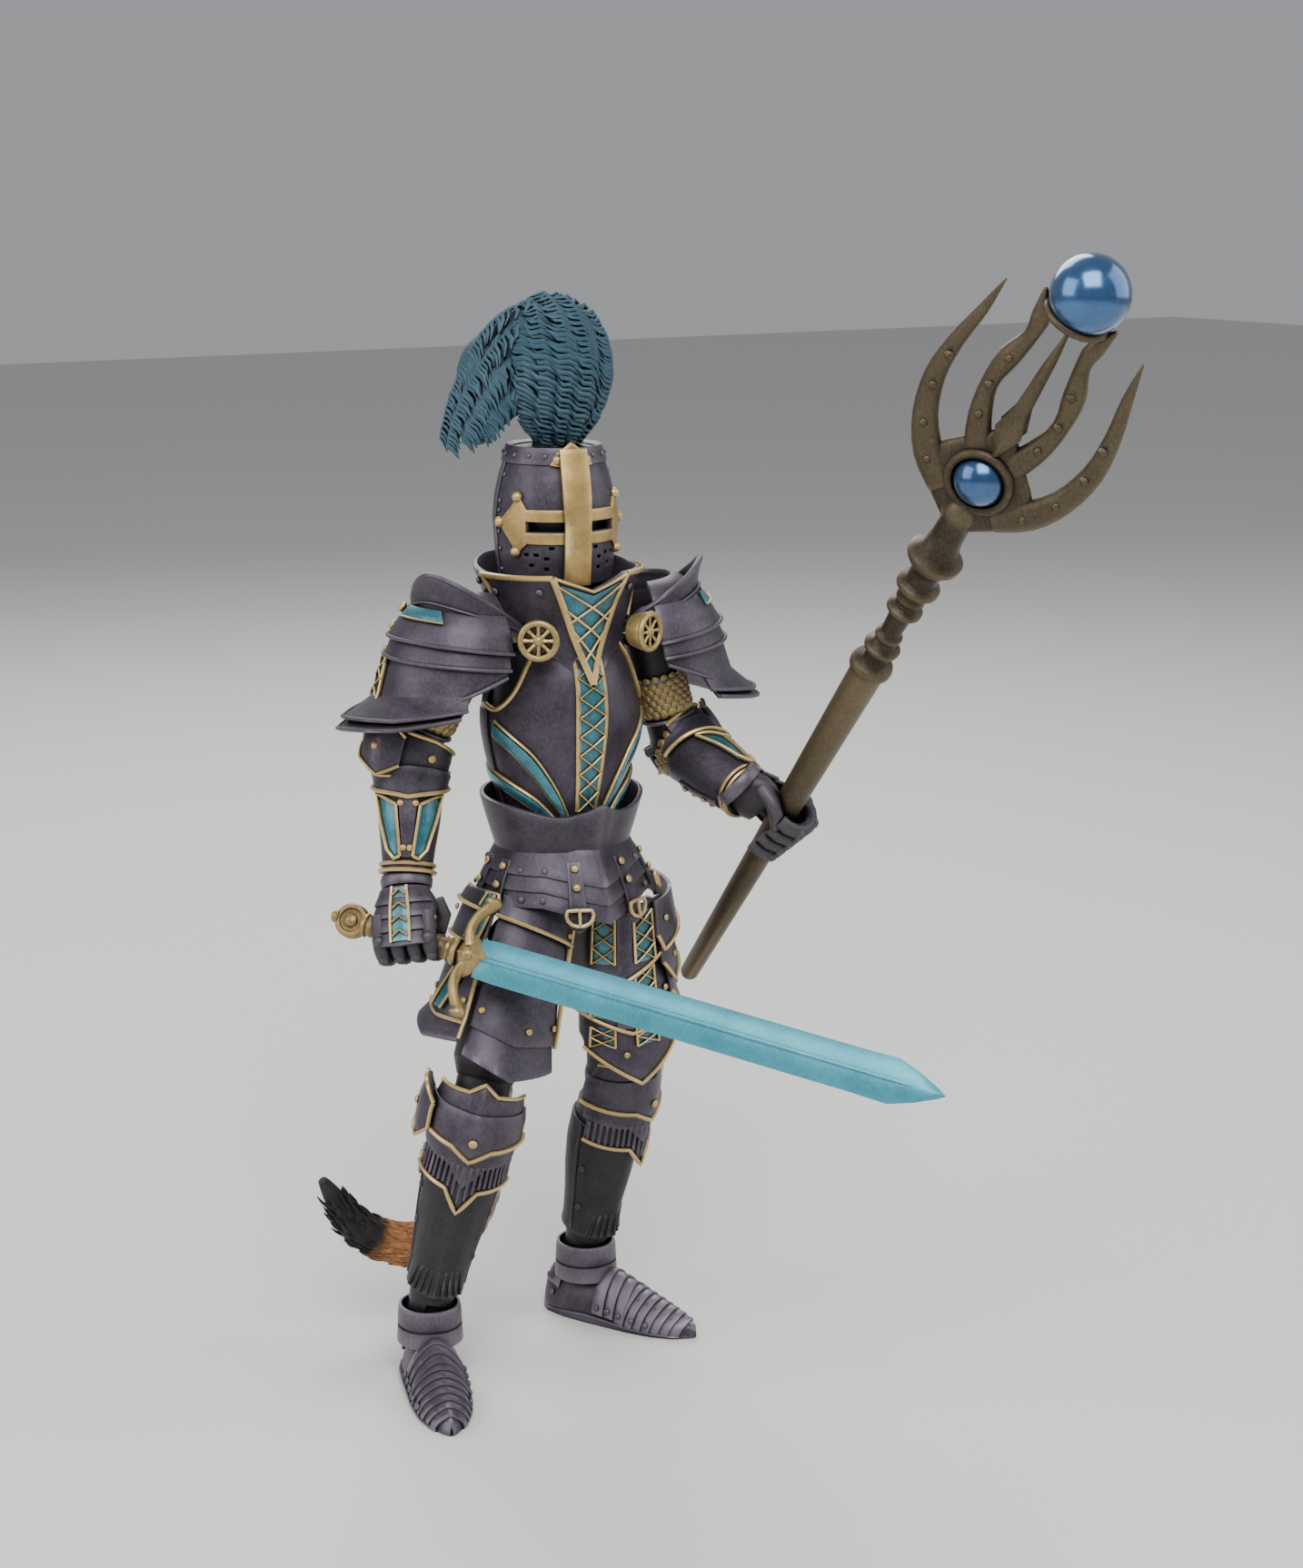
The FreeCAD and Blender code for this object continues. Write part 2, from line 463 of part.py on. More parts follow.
def make_foot():
    """A pointed steel shoe; the ankle centre is the local origin, the toe points to -Y."""
    sections = [(3.4, 7.6, FOOT_LENGTH_BACK), (4.6, 9.4, 4.0), (5.0, 9.2, -3.0), (5.6, 6.6, -10.0),
                (4.9, 4.8, -17.0), (0.8, 1.8, -FOOT_LENGTH_FRONT)]
    wires = []
    for half, high, y in sections:
        wire = oval(half, high, 0)
        wire.rotate(V(), V(1, 0, 0), 90)
        wire.translate(V(0, y, -ANKLE_Z))
        wires.append(wire)
    shoe = Part.makeLoft(wires, True, False)
    shoe = shoe.common(box((-9, 9), (-30, 20), (-ANKLE_Z, -ANKLE_ROUND - TURN_GAP)))
    ring = ball(5.9).cut(ball(4.9)).common(box((-9, 9), (-9, 9), (-5.4, 0.4)))
    shoe = shoe.cut(ball(4.9)).fuse(ring)
    return shoe.cut(rod(SOLE_HOLE_R, -ANKLE_Z - 1, -ANKLE_Z + SOLE_HOLE_DEPTH, "z", V(0, SOLE_HOLE_Y, 0)))


# ---- hanging armour -------------------------------------------------------------------------


def wedge_sector(start, stop, low, high):
    """A sector seen from above; angles in degrees from -Y towards the outer side +X."""
    points = [V(0, 0, low)]
    steps = 8
    for i in range(steps + 1):
        angle = math.radians(start + (stop - start) * i / steps)
        points.append(V(40 * math.sin(angle), -40 * math.cos(angle), low))
    points.append(points[0])
    return Part.Face(Part.makePolygon(points)).extrude(V(0, 0, high - low))


def make_tasset(s, inner, flare, sector, bottom):
    top = 4.6
    shell = cone(inner + TASSET_WALL + flare, inner + TASSET_WALL, bottom, top)
    shell = shell.cut(cone(inner + flare, inner, bottom, top))
    plate = shell.common(wedge_sector(sector[0], sector[1], bottom - 1, top + 1))
    if s < 0:
        plate = plate.mirror(V(), V(1, 0, 0))
    return plate


def make_tassets(s):
    tag = SIDE_NAME[s]
    place = frame(HIP[s], THIGH_WAY[s], V(1, 0, 0))
    front = put(make_tasset(s, TASSET_FRONT_R, 2.2, (-36, 42), -22.0), place)
    outer = put(make_tasset(s, TASSET_SIDE_R, 1.4, (57, 125), -19.0), place)
    NODES["tasset_front_" + tag] = front.common(box((-60, 60), (-60, 60), (20, TASSET_CAP)))
    NODES["tasset_side_" + tag] = outer.common(box((-60, 60), (-60, 60), (20, TASSET_CAP)))


def make_pauldron(s):
    tag = SIDE_NAME[s]
    dome = ball(12.4).cut(ball(11.2))
    keep = box((1.2, 20), (-20, 20), (4.6, 20)).fuse(box((6.6, 20), (-20, 20), (-7.5, 20)))
    skirt = cuff((15.8, 12.2), 1.1, -8.6, -2.0).common(box((6.8, 20), (-20, 20), (-20, 20)))
    plate = dome.common(keep).fuse(skirt)
    lip = rod(11.6, 6.0, 13.8).cut(rod(10.7, 5.0, 15)).common(box((1.6, 20), (-20, 20), (0, 20)))
    plate = plate.fuse(lip.common(wedge_sector(40, 150, 0, 20)))
    plate = largest(plate)
    if s < 0:
        plate = plate.mirror(V(), V(1, 0, 0))
    NODES["pauldron_" + tag] = put(plate, frame(SHOULDER[s], V(s * 0.12, 0, -1), TORSO_X))


# ---- tail -----------------------------------------------------------------------------------


def make_tail():
    pieces = [rod(TAIL_PEG_R, 1.8, TAIL_PATH[0].y, "y", V(0, 0, TAIL_ROOT.z))]
    for i in range(len(TAIL_PATH) - 1):
        start = TAIL_PATH[i]
        way = TAIL_PATH[i + 1] - start
        pieces.append(Part.makeCone(TAIL_RADII[i], TAIL_RADII[i + 1], way.Length, start, way))
    pieces += [ball(r, p) for r, p in zip(TAIL_RADII, TAIL_PATH)]
    NODES["tail"] = fused(pieces)


# ---- sword and staff ------------------------------------------------------------------------
def make_sword():
    """Along +Z of its own frame, with the fist's centre at the origin."""
    place = frame(FIST[-1], GRIP_AXIS[-1] * -1, HAND_WAY[-1])
    hilt = rod(GRIP_R, -8.0, 9.2)
    hilt = hilt.fuse(rod(2.9, -1.0, 1.0, "y", V(0, 0, -10.6))).fuse(rod(1.2, -2.0, 2.0, "y", V(0, 0, -10.6)))
    hilt = hilt.fuse(box((-9.6, 9.6), (-1.0, 1.0), (9.0, 11.4)))
    hilt = hilt.fuse(box((-2.1, 2.1), (-2.1, 2.1), (8.6, 13.0)))
    half_w = BLADE_WIDTH / 2
    half_t = BLADE_THICK / 2
    outline = [V(half_w, 0, 13.0), V(0, half_t, 13.0), V(-half_w, 0, 13.0), V(0, -half_t, 13.0)]
    straight = Part.Face(Part.makePolygon(outline + [outline[0]])).extrude(V(0, 0, BLADE_LENGTH - 9))
    tip_low = [V(v.x, v.y, 13.0 + BLADE_LENGTH - 9) for v in outline]
    tip_high = [V(v.x * 0.12, v.y * 0.2, 13.0 + BLADE_LENGTH) for v in outline]
    tip = Part.makeLoft([Part.makePolygon(w + [w[0]]) for w in (tip_low, tip_high)], True, True)
    hilt = hilt.cut(box((-1.4, 1.4), (-0.7, 0.7), (10.0, 13.5)))
    tang = box((-1.4, 1.4), (-0.7, 0.7), (10.0, 13.2))
    NODES["sword_hilt"] = put(hilt, place)
    NODES["sword_blade"] = put(fused([straight, tip, tang]), place)


def make_staff():
    """Along +Z of its own frame, with the fist's centre at the origin."""
    place = frame(FIST[1], GRIP_AXIS[1] * -1, HAND_WAY[1])
    shaft = cone(STAFF_LOW_R, STAFF_TOP_R, -STAFF_BELOW, STAFF_ABOVE)
    shaft = shaft.fuse(rod(3.7, STAFF_ABOVE, STAFF_ABOVE + 1.6))
    shaft = shaft.cut(rod(1.5, STAFF_ABOVE - 8, STAFF_ABOVE + 3))
    NODES["staff_shaft"] = put(shaft, place)
    base = STAFF_ABOVE + 1.6
    neck = [(1.5, STAFF_ABOVE - 8), (1.5, base), (2.3, base), (2.1, base + 3), (3.0, base + 3.2),
            (3.0, base + 4), (2.0, base + 4.4), (2.0, base + 12), (3.0, base + 12.2), (3.0, base + 13),
            (2.2, base + 13.4), (2.2, base + 17), (3.5, base + 17.6), (3.5, base + 18.6), (2.6, base + 19),
            (2.6, base + 21), (4.4, base + 24), (4.4, base + 25.5), (3.0, base + 27), (2.4, base + 33),
            (2.4, base + 36)]
    head = lathe(neck)
    crown = []
    for side in (-1, 1):
        inner = [(0.5, base + 34), (6, base + 38), (11.5, base + 44), (14.5, base + 54), (13.0, base + 74),
                 (12.2, base + 74), (12.0, base + 58), (9.6, base + 52), (6.8, base + 56), (6.4, base + 66),
                 (4.8, base + 72), (4.4, base + 62), (0.5, base + 46)]
        crown.append(extruded([(side * x, z) for x, z in inner], 2.0))
    spike = [(0.4, base + 42), (2.2, base + 52), (0.6, base + 60), (0.6, base + 74), (-0.6, base + 74),
             (-0.6, base + 60), (-2.2, base + 52), (-0.4, base + 42)]
    crown.append(extruded(spike, 3.0))
    head = fused([head] + crown)
    pearls = [ball(PEARL_R, V(0, 0, STAFF_PEARL_AT)), ball(SMALL_PEARL_R, V(0, 0, base + 42))]
    head = head.cut(pearls[0]).cut(pearls[1])
    NODES["staff_head"] = put(largest(head), place)
    NODES["staff_pearls"] = put(Part.makeCompound(pearls), place)


def build():
    make_pelvis()
    make_torso()
    make_rosettes()
    make_head()
    for s in (-1, 1):
        make_arm(s)
        make_leg(s)
        make_tassets(s)
        make_pauldron(s)
    make_tail()
    make_sword()
    make_staff()


build()
BOUNDS = FreeCAD.BoundBox()
for shape in NODES.values():
    BOUNDS.add(shape.optimalBoundingBox(False, False))
SHIFT = V(-BOUNDS.Center.x, -BOUNDS.Center.y, -BOUNDS.ZMin)
os.makedirs("parts", exist_ok=True)
for name, shape in NODES.items():
    shape.translate(SHIFT)
    shape.exportStep("parts/" + name + ".step")
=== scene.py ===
"""Looks of the armoured knight figure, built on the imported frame.

Shapes are modelled in millimetres in the frame of the bone they belong to and then placed.
A form is a smooth upright surface; plates, trims, inlays and rivets are laid on it by turn
(degrees from the front towards the outer side), height and lift.
"""

import json
import math
import random

import bmesh
import bpy
from mathutils import Matrix, Vector

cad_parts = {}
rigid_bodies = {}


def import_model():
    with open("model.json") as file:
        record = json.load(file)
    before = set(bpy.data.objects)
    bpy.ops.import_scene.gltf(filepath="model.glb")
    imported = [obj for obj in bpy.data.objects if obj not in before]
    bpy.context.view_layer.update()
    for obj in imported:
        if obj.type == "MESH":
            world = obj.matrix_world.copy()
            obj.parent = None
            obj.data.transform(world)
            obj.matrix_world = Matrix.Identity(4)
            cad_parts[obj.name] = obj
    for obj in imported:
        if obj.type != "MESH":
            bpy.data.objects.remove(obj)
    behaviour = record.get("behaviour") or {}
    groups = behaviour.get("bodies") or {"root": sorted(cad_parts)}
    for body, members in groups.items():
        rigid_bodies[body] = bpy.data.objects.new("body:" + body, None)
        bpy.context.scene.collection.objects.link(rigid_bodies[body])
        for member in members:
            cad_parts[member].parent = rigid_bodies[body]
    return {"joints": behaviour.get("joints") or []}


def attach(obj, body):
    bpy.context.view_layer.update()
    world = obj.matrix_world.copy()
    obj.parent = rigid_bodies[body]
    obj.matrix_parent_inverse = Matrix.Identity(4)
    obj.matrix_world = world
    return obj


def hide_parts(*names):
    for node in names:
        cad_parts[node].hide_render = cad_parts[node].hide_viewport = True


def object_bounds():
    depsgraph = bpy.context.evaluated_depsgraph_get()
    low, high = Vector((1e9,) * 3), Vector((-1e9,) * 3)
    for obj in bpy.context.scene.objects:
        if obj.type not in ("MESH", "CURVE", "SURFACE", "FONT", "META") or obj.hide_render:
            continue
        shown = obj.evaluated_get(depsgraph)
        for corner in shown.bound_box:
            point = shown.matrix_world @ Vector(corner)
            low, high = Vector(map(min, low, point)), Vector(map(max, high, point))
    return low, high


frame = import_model()
CAD_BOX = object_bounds()
JOINTS = {joint["name"]: joint for joint in frame["joints"]}
METRES = Matrix.Scale(0.001, 4)
SIDES = {-1: "R", 1: "L"}
random.seed(7)


# ---- finishes ------------------------------------------------------------------------------
def group_node(tree, kind, **values):
    """A new shader node with its properties and input values set."""
    node = tree.nodes.new(kind)
    for name, value in values.items():
        if hasattr(node, name):
            setattr(node, name, value)
        else:
            node.inputs[name].default_value = value
    return node


def wear_and_shade_group():
    """Masks for painted castings: raised edges, painted shade in the deep corners taken from ambient
    occlusion, clouding and brush streaks.
    """
    tree = bpy.data.node_groups.new("wear", "ShaderNodeTree")
    for name, value in (("Edge Gain", 9.0), ("Hollow Reach", 0.002), ("Cloud Scale", 260.0)):
        socket = tree.interface.new_socket(name=name, in_out="INPUT", socket_type="NodeSocketFloat")
        socket.default_value = value
    for name in ("Raised", "Hollow", "Cloud", "Brush"):
        tree.interface.new_socket(name=name, in_out="OUTPUT", socket_type="NodeSocketFloat")
    link = tree.links.new
    given = tree.nodes.new("NodeGroupInput")
    result = tree.nodes.new("NodeGroupOutput")
    place = group_node(tree, "ShaderNodeTexCoord")
    geometry = group_node(tree, "ShaderNodeNewGeometry")

    cloud = group_node(tree, "ShaderNodeTexNoise", Detail=4.0, Roughness=0.6)
    link(place.outputs["Object"], cloud.inputs["Vector"])
    link(given.outputs["Cloud Scale"], cloud.inputs["Scale"])
    spread = group_node(tree, "ShaderNodeMapRange")
    spread.inputs["From Min"].default_value = 0.32
    spread.inputs["From Max"].default_value = 0.68
    link(cloud.outputs["Fac"], spread.inputs["Value"])

    stretch = group_node(tree, "ShaderNodeMapping")
    stretch.inputs["Scale"].default_value = (1.0, 1.0, 0.55)
    link(place.outputs["Object"], stretch.inputs["Vector"])
    brush = group_node(tree, "ShaderNodeTexNoise", Scale=2600.0, Detail=3.0, Roughness=0.65)
    link(stretch.outputs["Vector"], brush.inputs["Vector"])

    edge = group_node(tree, "ShaderNodeMath", operation="SUBTRACT")
    edge.inputs[1].default_value = 0.505
    link(geometry.outputs["Pointiness"], edge.inputs[0])
    gain = group_node(tree, "ShaderNodeMath", operation="MULTIPLY")
    link(edge.outputs[0], gain.inputs[0])
    link(given.outputs["Edge Gain"], gain.inputs[1])
    broken = group_node(tree, "ShaderNodeMath", operation="MULTIPLY", use_clamp=True)
    link(gain.outputs[0], broken.inputs[0])
    lift = group_node(tree, "ShaderNodeMath", operation="ADD")
    lift.inputs[1].default_value = 0.35
    link(brush.outputs["Fac"], lift.inputs[0])
    link(lift.outputs[0], broken.inputs[1])

    # Painted shade: ambient occlusion marks the deep corners, and the colour is darkened there.
    shade = group_node(tree, "ShaderNodeAmbientOcclusion", samples=6)
    link(given.outputs["Hollow Reach"], shade.inputs["Distance"])
    painted_shade = group_node(tree, "ShaderNodeMapRange")
    painted_shade.inputs["From Min"].default_value = 0.9
    painted_shade.inputs["From Max"].default_value = 0.35
    link(shade.outputs["AO"], painted_shade.inputs["Value"])

    link(broken.outputs[0], result.inputs["Raised"])
    link(painted_shade.outputs["Result"], result.inputs["Hollow"])
    link(spread.outputs["Result"], result.inputs["Cloud"])
    link(brush.outputs["Fac"], result.inputs["Brush"])
    return tree


def relief_group():
    """Fine height for castings: sand-like grain with a few larger hammer marks."""
    tree = bpy.data.node_groups.new("relief", "ShaderNodeTree")
    for name, value in (("Grain Scale", 5200.0), ("Mark Scale", 900.0), ("Mark Amount", 0.5)):
        socket = tree.interface.new_socket(name=name, in_out="INPUT", socket_type="NodeSocketFloat")
        socket.default_value = value
    tree.interface.new_socket(name="Height", in_out="OUTPUT", socket_type="NodeSocketFloat")
    link = tree.links.new
    given = tree.nodes.new("NodeGroupInput")
    result = tree.nodes.new("NodeGroupOutput")
    place = group_node(tree, "ShaderNodeTexCoord")
    grain = group_node(tree, "ShaderNodeTexNoise", Detail=3.0, Roughness=0.7)
    marks = group_node(tree, "ShaderNodeTexVoronoi", feature="SMOOTH_F1")
    for node, scale in ((grain, "Grain Scale"), (marks, "Mark Scale")):
        link(place.outputs["Object"], node.inputs["Vector"])
        link(given.outputs[scale], node.inputs["Scale"])
    deep = group_node(tree, "ShaderNodeMath", operation="MULTIPLY")
    link(marks.outputs["Distance"], deep.inputs[0])
    link(given.outputs["Mark Amount"], deep.inputs[1])
    total = group_node(tree, "ShaderNodeMath", operation="ADD")
    link(grain.outputs["Fac"], total.inputs[0])
    link(deep.outputs[0], total.inputs[1])
    link(total.outputs[0], result.inputs["Height"])
    return tree


WEAR_AND_SHADE = wear_and_shade_group()
RELIEF = relief_group()


def mixed(tree, mask, low, high):
    """A colour between two; each may be a colour or a socket."""
    node = tree.nodes.new("ShaderNodeMix")
    node.data_type = "RGBA"
    tree.links.new(mask, node.inputs["Factor"])
    for slot, value in ((6, low), (7, high)):
        if isinstance(value, bpy.types.NodeSocket):
            tree.links.new(value, node.inputs[slot])
        else:
            node.inputs[slot].default_value = (*value, 1.0)
    return node.outputs[2]


def spread_value(tree, source, low, high):
    """A 0 to 1 value stretched to a new range."""
    node = tree.nodes.new("ShaderNodeMapRange")
    node.inputs["To Min"].default_value = low
    node.inputs["To Max"].default_value = high
    tree.links.new(source, node.inputs["Value"])
    return node.outputs["Result"]


def start_finish(name, metallic, relief=0.0, grain=5200.0, marks=0.5, bump=0.00004):
    """A Principled material with its relief bump in place."""
    material = bpy.data.materials.new(name)
    material.use_nodes = True
    tree = material.node_tree
    shader = tree.nodes["Principled BSDF"]
    shader.inputs["Metallic"].default_value = metallic
    if relief:
        height = group_node(tree, "ShaderNodeGroup", node_tree=RELIEF)
        height.inputs["Grain Scale"].default_value = grain
        height.inputs["Mark Amount"].default_value = marks
        node = tree.nodes.new("ShaderNodeBump")
        node.inputs["Strength"].default_value = relief
        node.inputs["Distance"].default_value = bump
        tree.links.new(height.outputs["Height"], node.inputs["Height"])
        tree.links.new(node.outputs["Normal"], shader.inputs["Normal"])
    return material, tree, shader


def painted(name, dark, middle, light, metallic, rough, relief=0.5, edge=9.0, reach=0.002, cloud=260.0,
            coat=0.0, marks=0.5, shadow=(0.006, 0.005, 0.007)):
    """Metallic paint with painted shade darkening the corners and dry-brushed edges."""
    material, tree, shader = start_finish(name, metallic, relief, marks=marks)
    shader.inputs["Coat Weight"].default_value = coat
    shader.inputs["Coat Roughness"].default_value = 0.15
    wear = group_node(tree, "ShaderNodeGroup", node_tree=WEAR_AND_SHADE)
    wear.inputs["Edge Gain"].default_value = edge
    wear.inputs["Hollow Reach"].default_value = reach
    wear.inputs["Cloud Scale"].default_value = cloud
    base = mixed(tree, wear.outputs["Cloud"], dark, middle)
    base = mixed(tree, spread_value(tree, wear.outputs["Brush"], -0.3, 0.38), base, light)
    base = mixed(tree, wear.outputs["Raised"], base, light)
    # Painted shade: the colour goes towards the shadow colour where the corners are occluded.
    base = mixed(tree, wear.outputs["Hollow"], base, shadow)
    tree.links.new(base, shader.inputs["Base Color"])
    tree.links.new(spread_value(tree, wear.outputs["Brush"], rough - 0.07, rough + 0.12),
                   shader.inputs["Roughness"])
    return material


def fur_finish():
    """Cream fur with dark spots, then an orange band and a black end."""
    material, tree, shader = start_finish("tail_fur", 0.0)
    shader.inputs["Roughness"].default_value = 0.75
    place = tree.nodes.new("ShaderNodeTexCoord")
    way = group_node(tree, "ShaderNodeAttribute", attribute_name="along")
    strand = group_node(tree, "ShaderNodeAttribute", attribute_name="strand")
    ramp = tree.nodes.new("ShaderNodeValToRGB")
    stops = ((0.0, (0.50, 0.43, 0.32)), (0.60, (0.52, 0.45, 0.33)), (0.66, (0.50, 0.22, 0.08)),
             (0.84, (0.52, 0.23, 0.08)), (0.87, (0.014, 0.013, 0.012)))
    while len(ramp.color_ramp.elements) < len(stops):
        ramp.color_ramp.elements.new(0.5)
    for element, (position, colour) in zip(ramp.color_ramp.elements, stops):
        element.position = position
        element.color = (*colour, 1.0)
    tree.links.new(way.outputs["Fac"], ramp.inputs["Fac"])
    spots = group_node(tree, "ShaderNodeTexVoronoi", Scale=118.0, Randomness=0.75)
    tree.links.new(place.outputs["Object"], spots.inputs["Vector"])
    inside = tree.nodes.new("ShaderNodeMapRange")
    inside.inputs["From Min"].default_value = 0.30
    inside.inputs["From Max"].default_value = 0.25
    tree.links.new(spots.outputs["Distance"], inside.inputs["Value"])
    zone = tree.nodes.new("ShaderNodeMapRange")
    zone.inputs["From Min"].default_value = 0.70
    zone.inputs["From Max"].default_value = 0.66
    tree.links.new(way.outputs["Fac"], zone.inputs["Value"])
    both = group_node(tree, "ShaderNodeMath", operation="MULTIPLY")
    tree.links.new(inside.outputs["Result"], both.inputs[0])
    tree.links.new(zone.outputs["Result"], both.inputs[1])
    colour = mixed(tree, both.outputs[0], ramp.outputs["Color"], (0.013, 0.012, 0.011))
    shade = mixed(tree, strand.outputs["Fac"], (0.38, 0.35, 0.32), (1.0, 1.0, 1.0))
    final = tree.nodes.new("ShaderNodeMix")
    final.data_type = "RGBA"
    final.blend_type = "MULTIPLY"
    final.inputs["Factor"].default_value = 1.0
    tree.links.new(colour, final.inputs[6])
    tree.links.new(shade, final.inputs[7])
    tree.links.new(final.outputs[2], shader.inputs["Base Color"])
    return material


FINISHES = {
    "armour": (painted("armour_paint", (0.030, 0.024, 0.034), (0.058, 0.047, 0.066), (0.19, 0.165, 0.205),
                       0.5, 0.40, edge=10.0), "armour"),
    "dark_armour": (painted("dark_armour_paint", (0.010, 0.009, 0.011), (0.020, 0.017, 0.021),
                            (0.085, 0.075, 0.088), 0.4, 0.45, edge=8.0), "armour"),
    "inner": (painted("inner_black", (0.008, 0.008, 0.009), (0.014, 0.013, 0.015), (0.05, 0.05, 0.055),
                      0.1, 0.5, edge=4.0), "inner"),
    "pin": (painted("pin_plastic", (0.02, 0.02, 0.022), (0.03, 0.028, 0.032), (0.1, 0.1, 0.11),
                    0.2, 0.4, edge=4.0), "pin"),
    "gold": (painted("gold_paint", (0.30, 0.19, 0.06), (0.46, 0.31, 0.11), (0.78, 0.60, 0.28),
                     0.62, 0.36, edge=6.0, reach=0.0009, shadow=(0.06, 0.03, 0.01)), "gold"),
    "brass": (painted("brass_paint", (0.13, 0.085, 0.028), (0.24, 0.16, 0.055), (0.60, 0.45, 0.20),
                      0.65, 0.36, edge=8.0, reach=0.001), "gold"),
    "mail": (painted("mail_gold", (0.05, 0.035, 0.015), (0.10, 0.07, 0.03), (0.42, 0.31, 0.14),
                     0.6, 0.42, edge=10.0, reach=0.0008), "gold"),
    "inlay": (painted("inlay_teal", (0.012, 0.085, 0.12), (0.03, 0.17, 0.22), (0.16, 0.44, 0.50),
                      0.5, 0.3, edge=7.0, reach=0.0009, cloud=420.0, coat=0.3), "blade"),
    "blade": (painted("blade_cyan", (0.025, 0.20, 0.27), (0.05, 0.30, 0.38), (0.16, 0.52, 0.60),
                      0.42, 0.34, edge=3.0, cloud=120.0), "blade"),
    "bronze": (painted("bronze_paint", (0.020, 0.014, 0.008), (0.046, 0.034, 0.020), (0.22, 0.165, 0.09),
                       0.62, 0.42, edge=9.0), "bronze"),
    "pearl": (painted("pearl_blue", (0.02, 0.07, 0.20), (0.035, 0.12, 0.28), (0.10, 0.26, 0.46),
                      0.75, 0.2, relief=0.0, edge=0.0, coat=0.8, cloud=160.0), "pearl"),
    "plume": (painted("plume_teal", (0.006, 0.026, 0.042), (0.010, 0.044, 0.068), (0.032, 0.10, 0.14),
                      0.0, 0.62, edge=6.0, reach=0.0016), "plume"),
    "fur": (fur_finish(), "fur"),
}


# ---- bones ---------------------------------------------------------------------------------
def at(name):
    """Where a joint is, in millimetres."""
    return Vector(JOINTS[name]["pos_m"]) * 1000.0


def towards(name, hint):
    """A joint's axis, on the same side as the hint."""
    axis = Vector(JOINTS[name]["axis"])
    return axis if axis.dot(Vector(hint)) > 0 else -axis


def bone(origin, down, side):
    """A placement whose -Z runs along down and whose X lies as close to side as it can."""
    z = -down.normalized()
    x = (side - z * side.dot(z)).normalized()
    matrix = Matrix((x, z.cross(x), z)).transposed().to_4x4()
    matrix.translation = origin
    return matrix


def shifted(x, y, z):
    """A placement that only moves."""
    return Matrix.Translation((x, y, z))


X = Vector((1, 0, 0))
UP = Vector((0, 0, 1))
WAIST = at("waist_twist")
NECK = at("neck_twist")
TORSO_X = towards("waist_bend", X)
HEAD_X = towards("head_nod", X)
BODY = Matrix.Translation(WAIST) @ shifted(0, -1, -99)
TORSO = bone(WAIST, -UP, TORSO_X) @ shifted(0, -1, -99)
HEAD = bone(NECK, -UP, HEAD_X) @ shifted(0, -2.5, -146)
HIP = {s: at("hip_swing_" + t) for s, t in SIDES.items()}
KNEE = {s: at("knee_bend_" + t) for s, t in SIDES.items()}
ANKLE = {s: at("ankle_pitch_" + t) for s, t in SIDES.items()}
SHOULDER = {s: at("shoulder_swing_" + t) for s, t in SIDES.items()}
ELBOW = {s: at("elbow_bend_" + t) for s, t in SIDES.items()}
WRIST = {s: at("wrist_tilt_" + t) for s, t in SIDES.items()}
FIST = {-1: at("sword_turn"), 1: at("staff_turn")}
GRIP = {-1: towards("sword_turn", X), 1: towards("staff_turn", UP)}
THIGH_WAY = {s: (KNEE[s] - HIP[s]).normalized() for s in SIDES}
SHIN_WAY = {s: (ANKLE[s] - KNEE[s]).normalized() for s in SIDES}
UPPER_WAY = {s: (ELBOW[s] - SHOULDER[s]).normalized() for s in SIDES}
FORE_WAY = {s: (WRIST[s] - ELBOW[s]).normalized() for s in SIDES}
KNEE_AXIS = {s: THIGH_WAY[s].cross(SHIN_WAY[s]).normalized() for s in SIDES}
ELBOW_AXIS = {s: FORE_WAY[s].cross(UPPER_WAY[s]).normalized() for s in SIDES}
HAND_WAY = {s: (FIST[s] - WRIST[s]).normalized() for s in SIDES}
FOOT_X = {-1: Vector((math.cos(math.radians(-20)), math.sin(math.radians(-20)), 0)),
          1: Vector((math.cos(math.radians(25)), math.sin(math.radians(25)), 0))}
PAULDRON = {s: bone(SHOULDER[s], Vector((s * 0.12, 0, -1)), TORSO_X) for s in SIDES}
UPPER_ARM = {s: bone(SHOULDER[s], UPPER_WAY[s], ELBOW_AXIS[s]) for s in SIDES}
FOREARM = {s: bone(ELBOW[s], FORE_WAY[s], ELBOW_AXIS[s]) for s in SIDES}
HAND = {s: bone(FIST[s], HAND_WAY[s], GRIP[s]) for s in SIDES}
TASSET = {s: bone(HIP[s], THIGH_WAY[s], X) for s in SIDES}
SHIN = {s: bone(KNEE[s], SHIN_WAY[s], KNEE_AXIS[s]) for s in SIDES}
FOOT = {s: bone(ANKLE[s], -UP, FOOT_X[s]) for s in SIDES}
WEAPON = {s: bone(FIST[s], -GRIP[s], HAND_WAY[s]) for s in SIDES}


# ---- shaping -------------------------------------------------------------------------------
def along(knots, place):
    """The value at a place between (place, value) knots."""
    if place <= knots[0][0]:
        return knots[0][1]
    for (a, low), (b, high) in zip(knots, knots[1:]):
        if place <= b:
            return low + (high - low) * (place - a) / (b - a)
    return knots[-1][1]


def curve(before, a, b, after, t):
    """A place on the rounded curve from a to b, bent by the neighbours on both sides."""
    return 0.5 * (2 * a + (b - before) * t + (2 * before - 5 * a + 4 * b - after) * t * t
                  + (3 * a - before - 3 * b + after) * t ** 3)


def neighbours(path, i):
    """A stretch's two ends between the points before and after it."""
    return path[max(i - 1, 0)], path[i], path[i + 1], path[min(i + 2, len(path) - 1)]


def rounded_rows(rows, times):
    """Rows of numbers along a rounded curve through the given rows, without the last."""
    return [curve(*neighbours(rows, i), k / times) for i in range(len(rows) - 1) for k in range(times)]


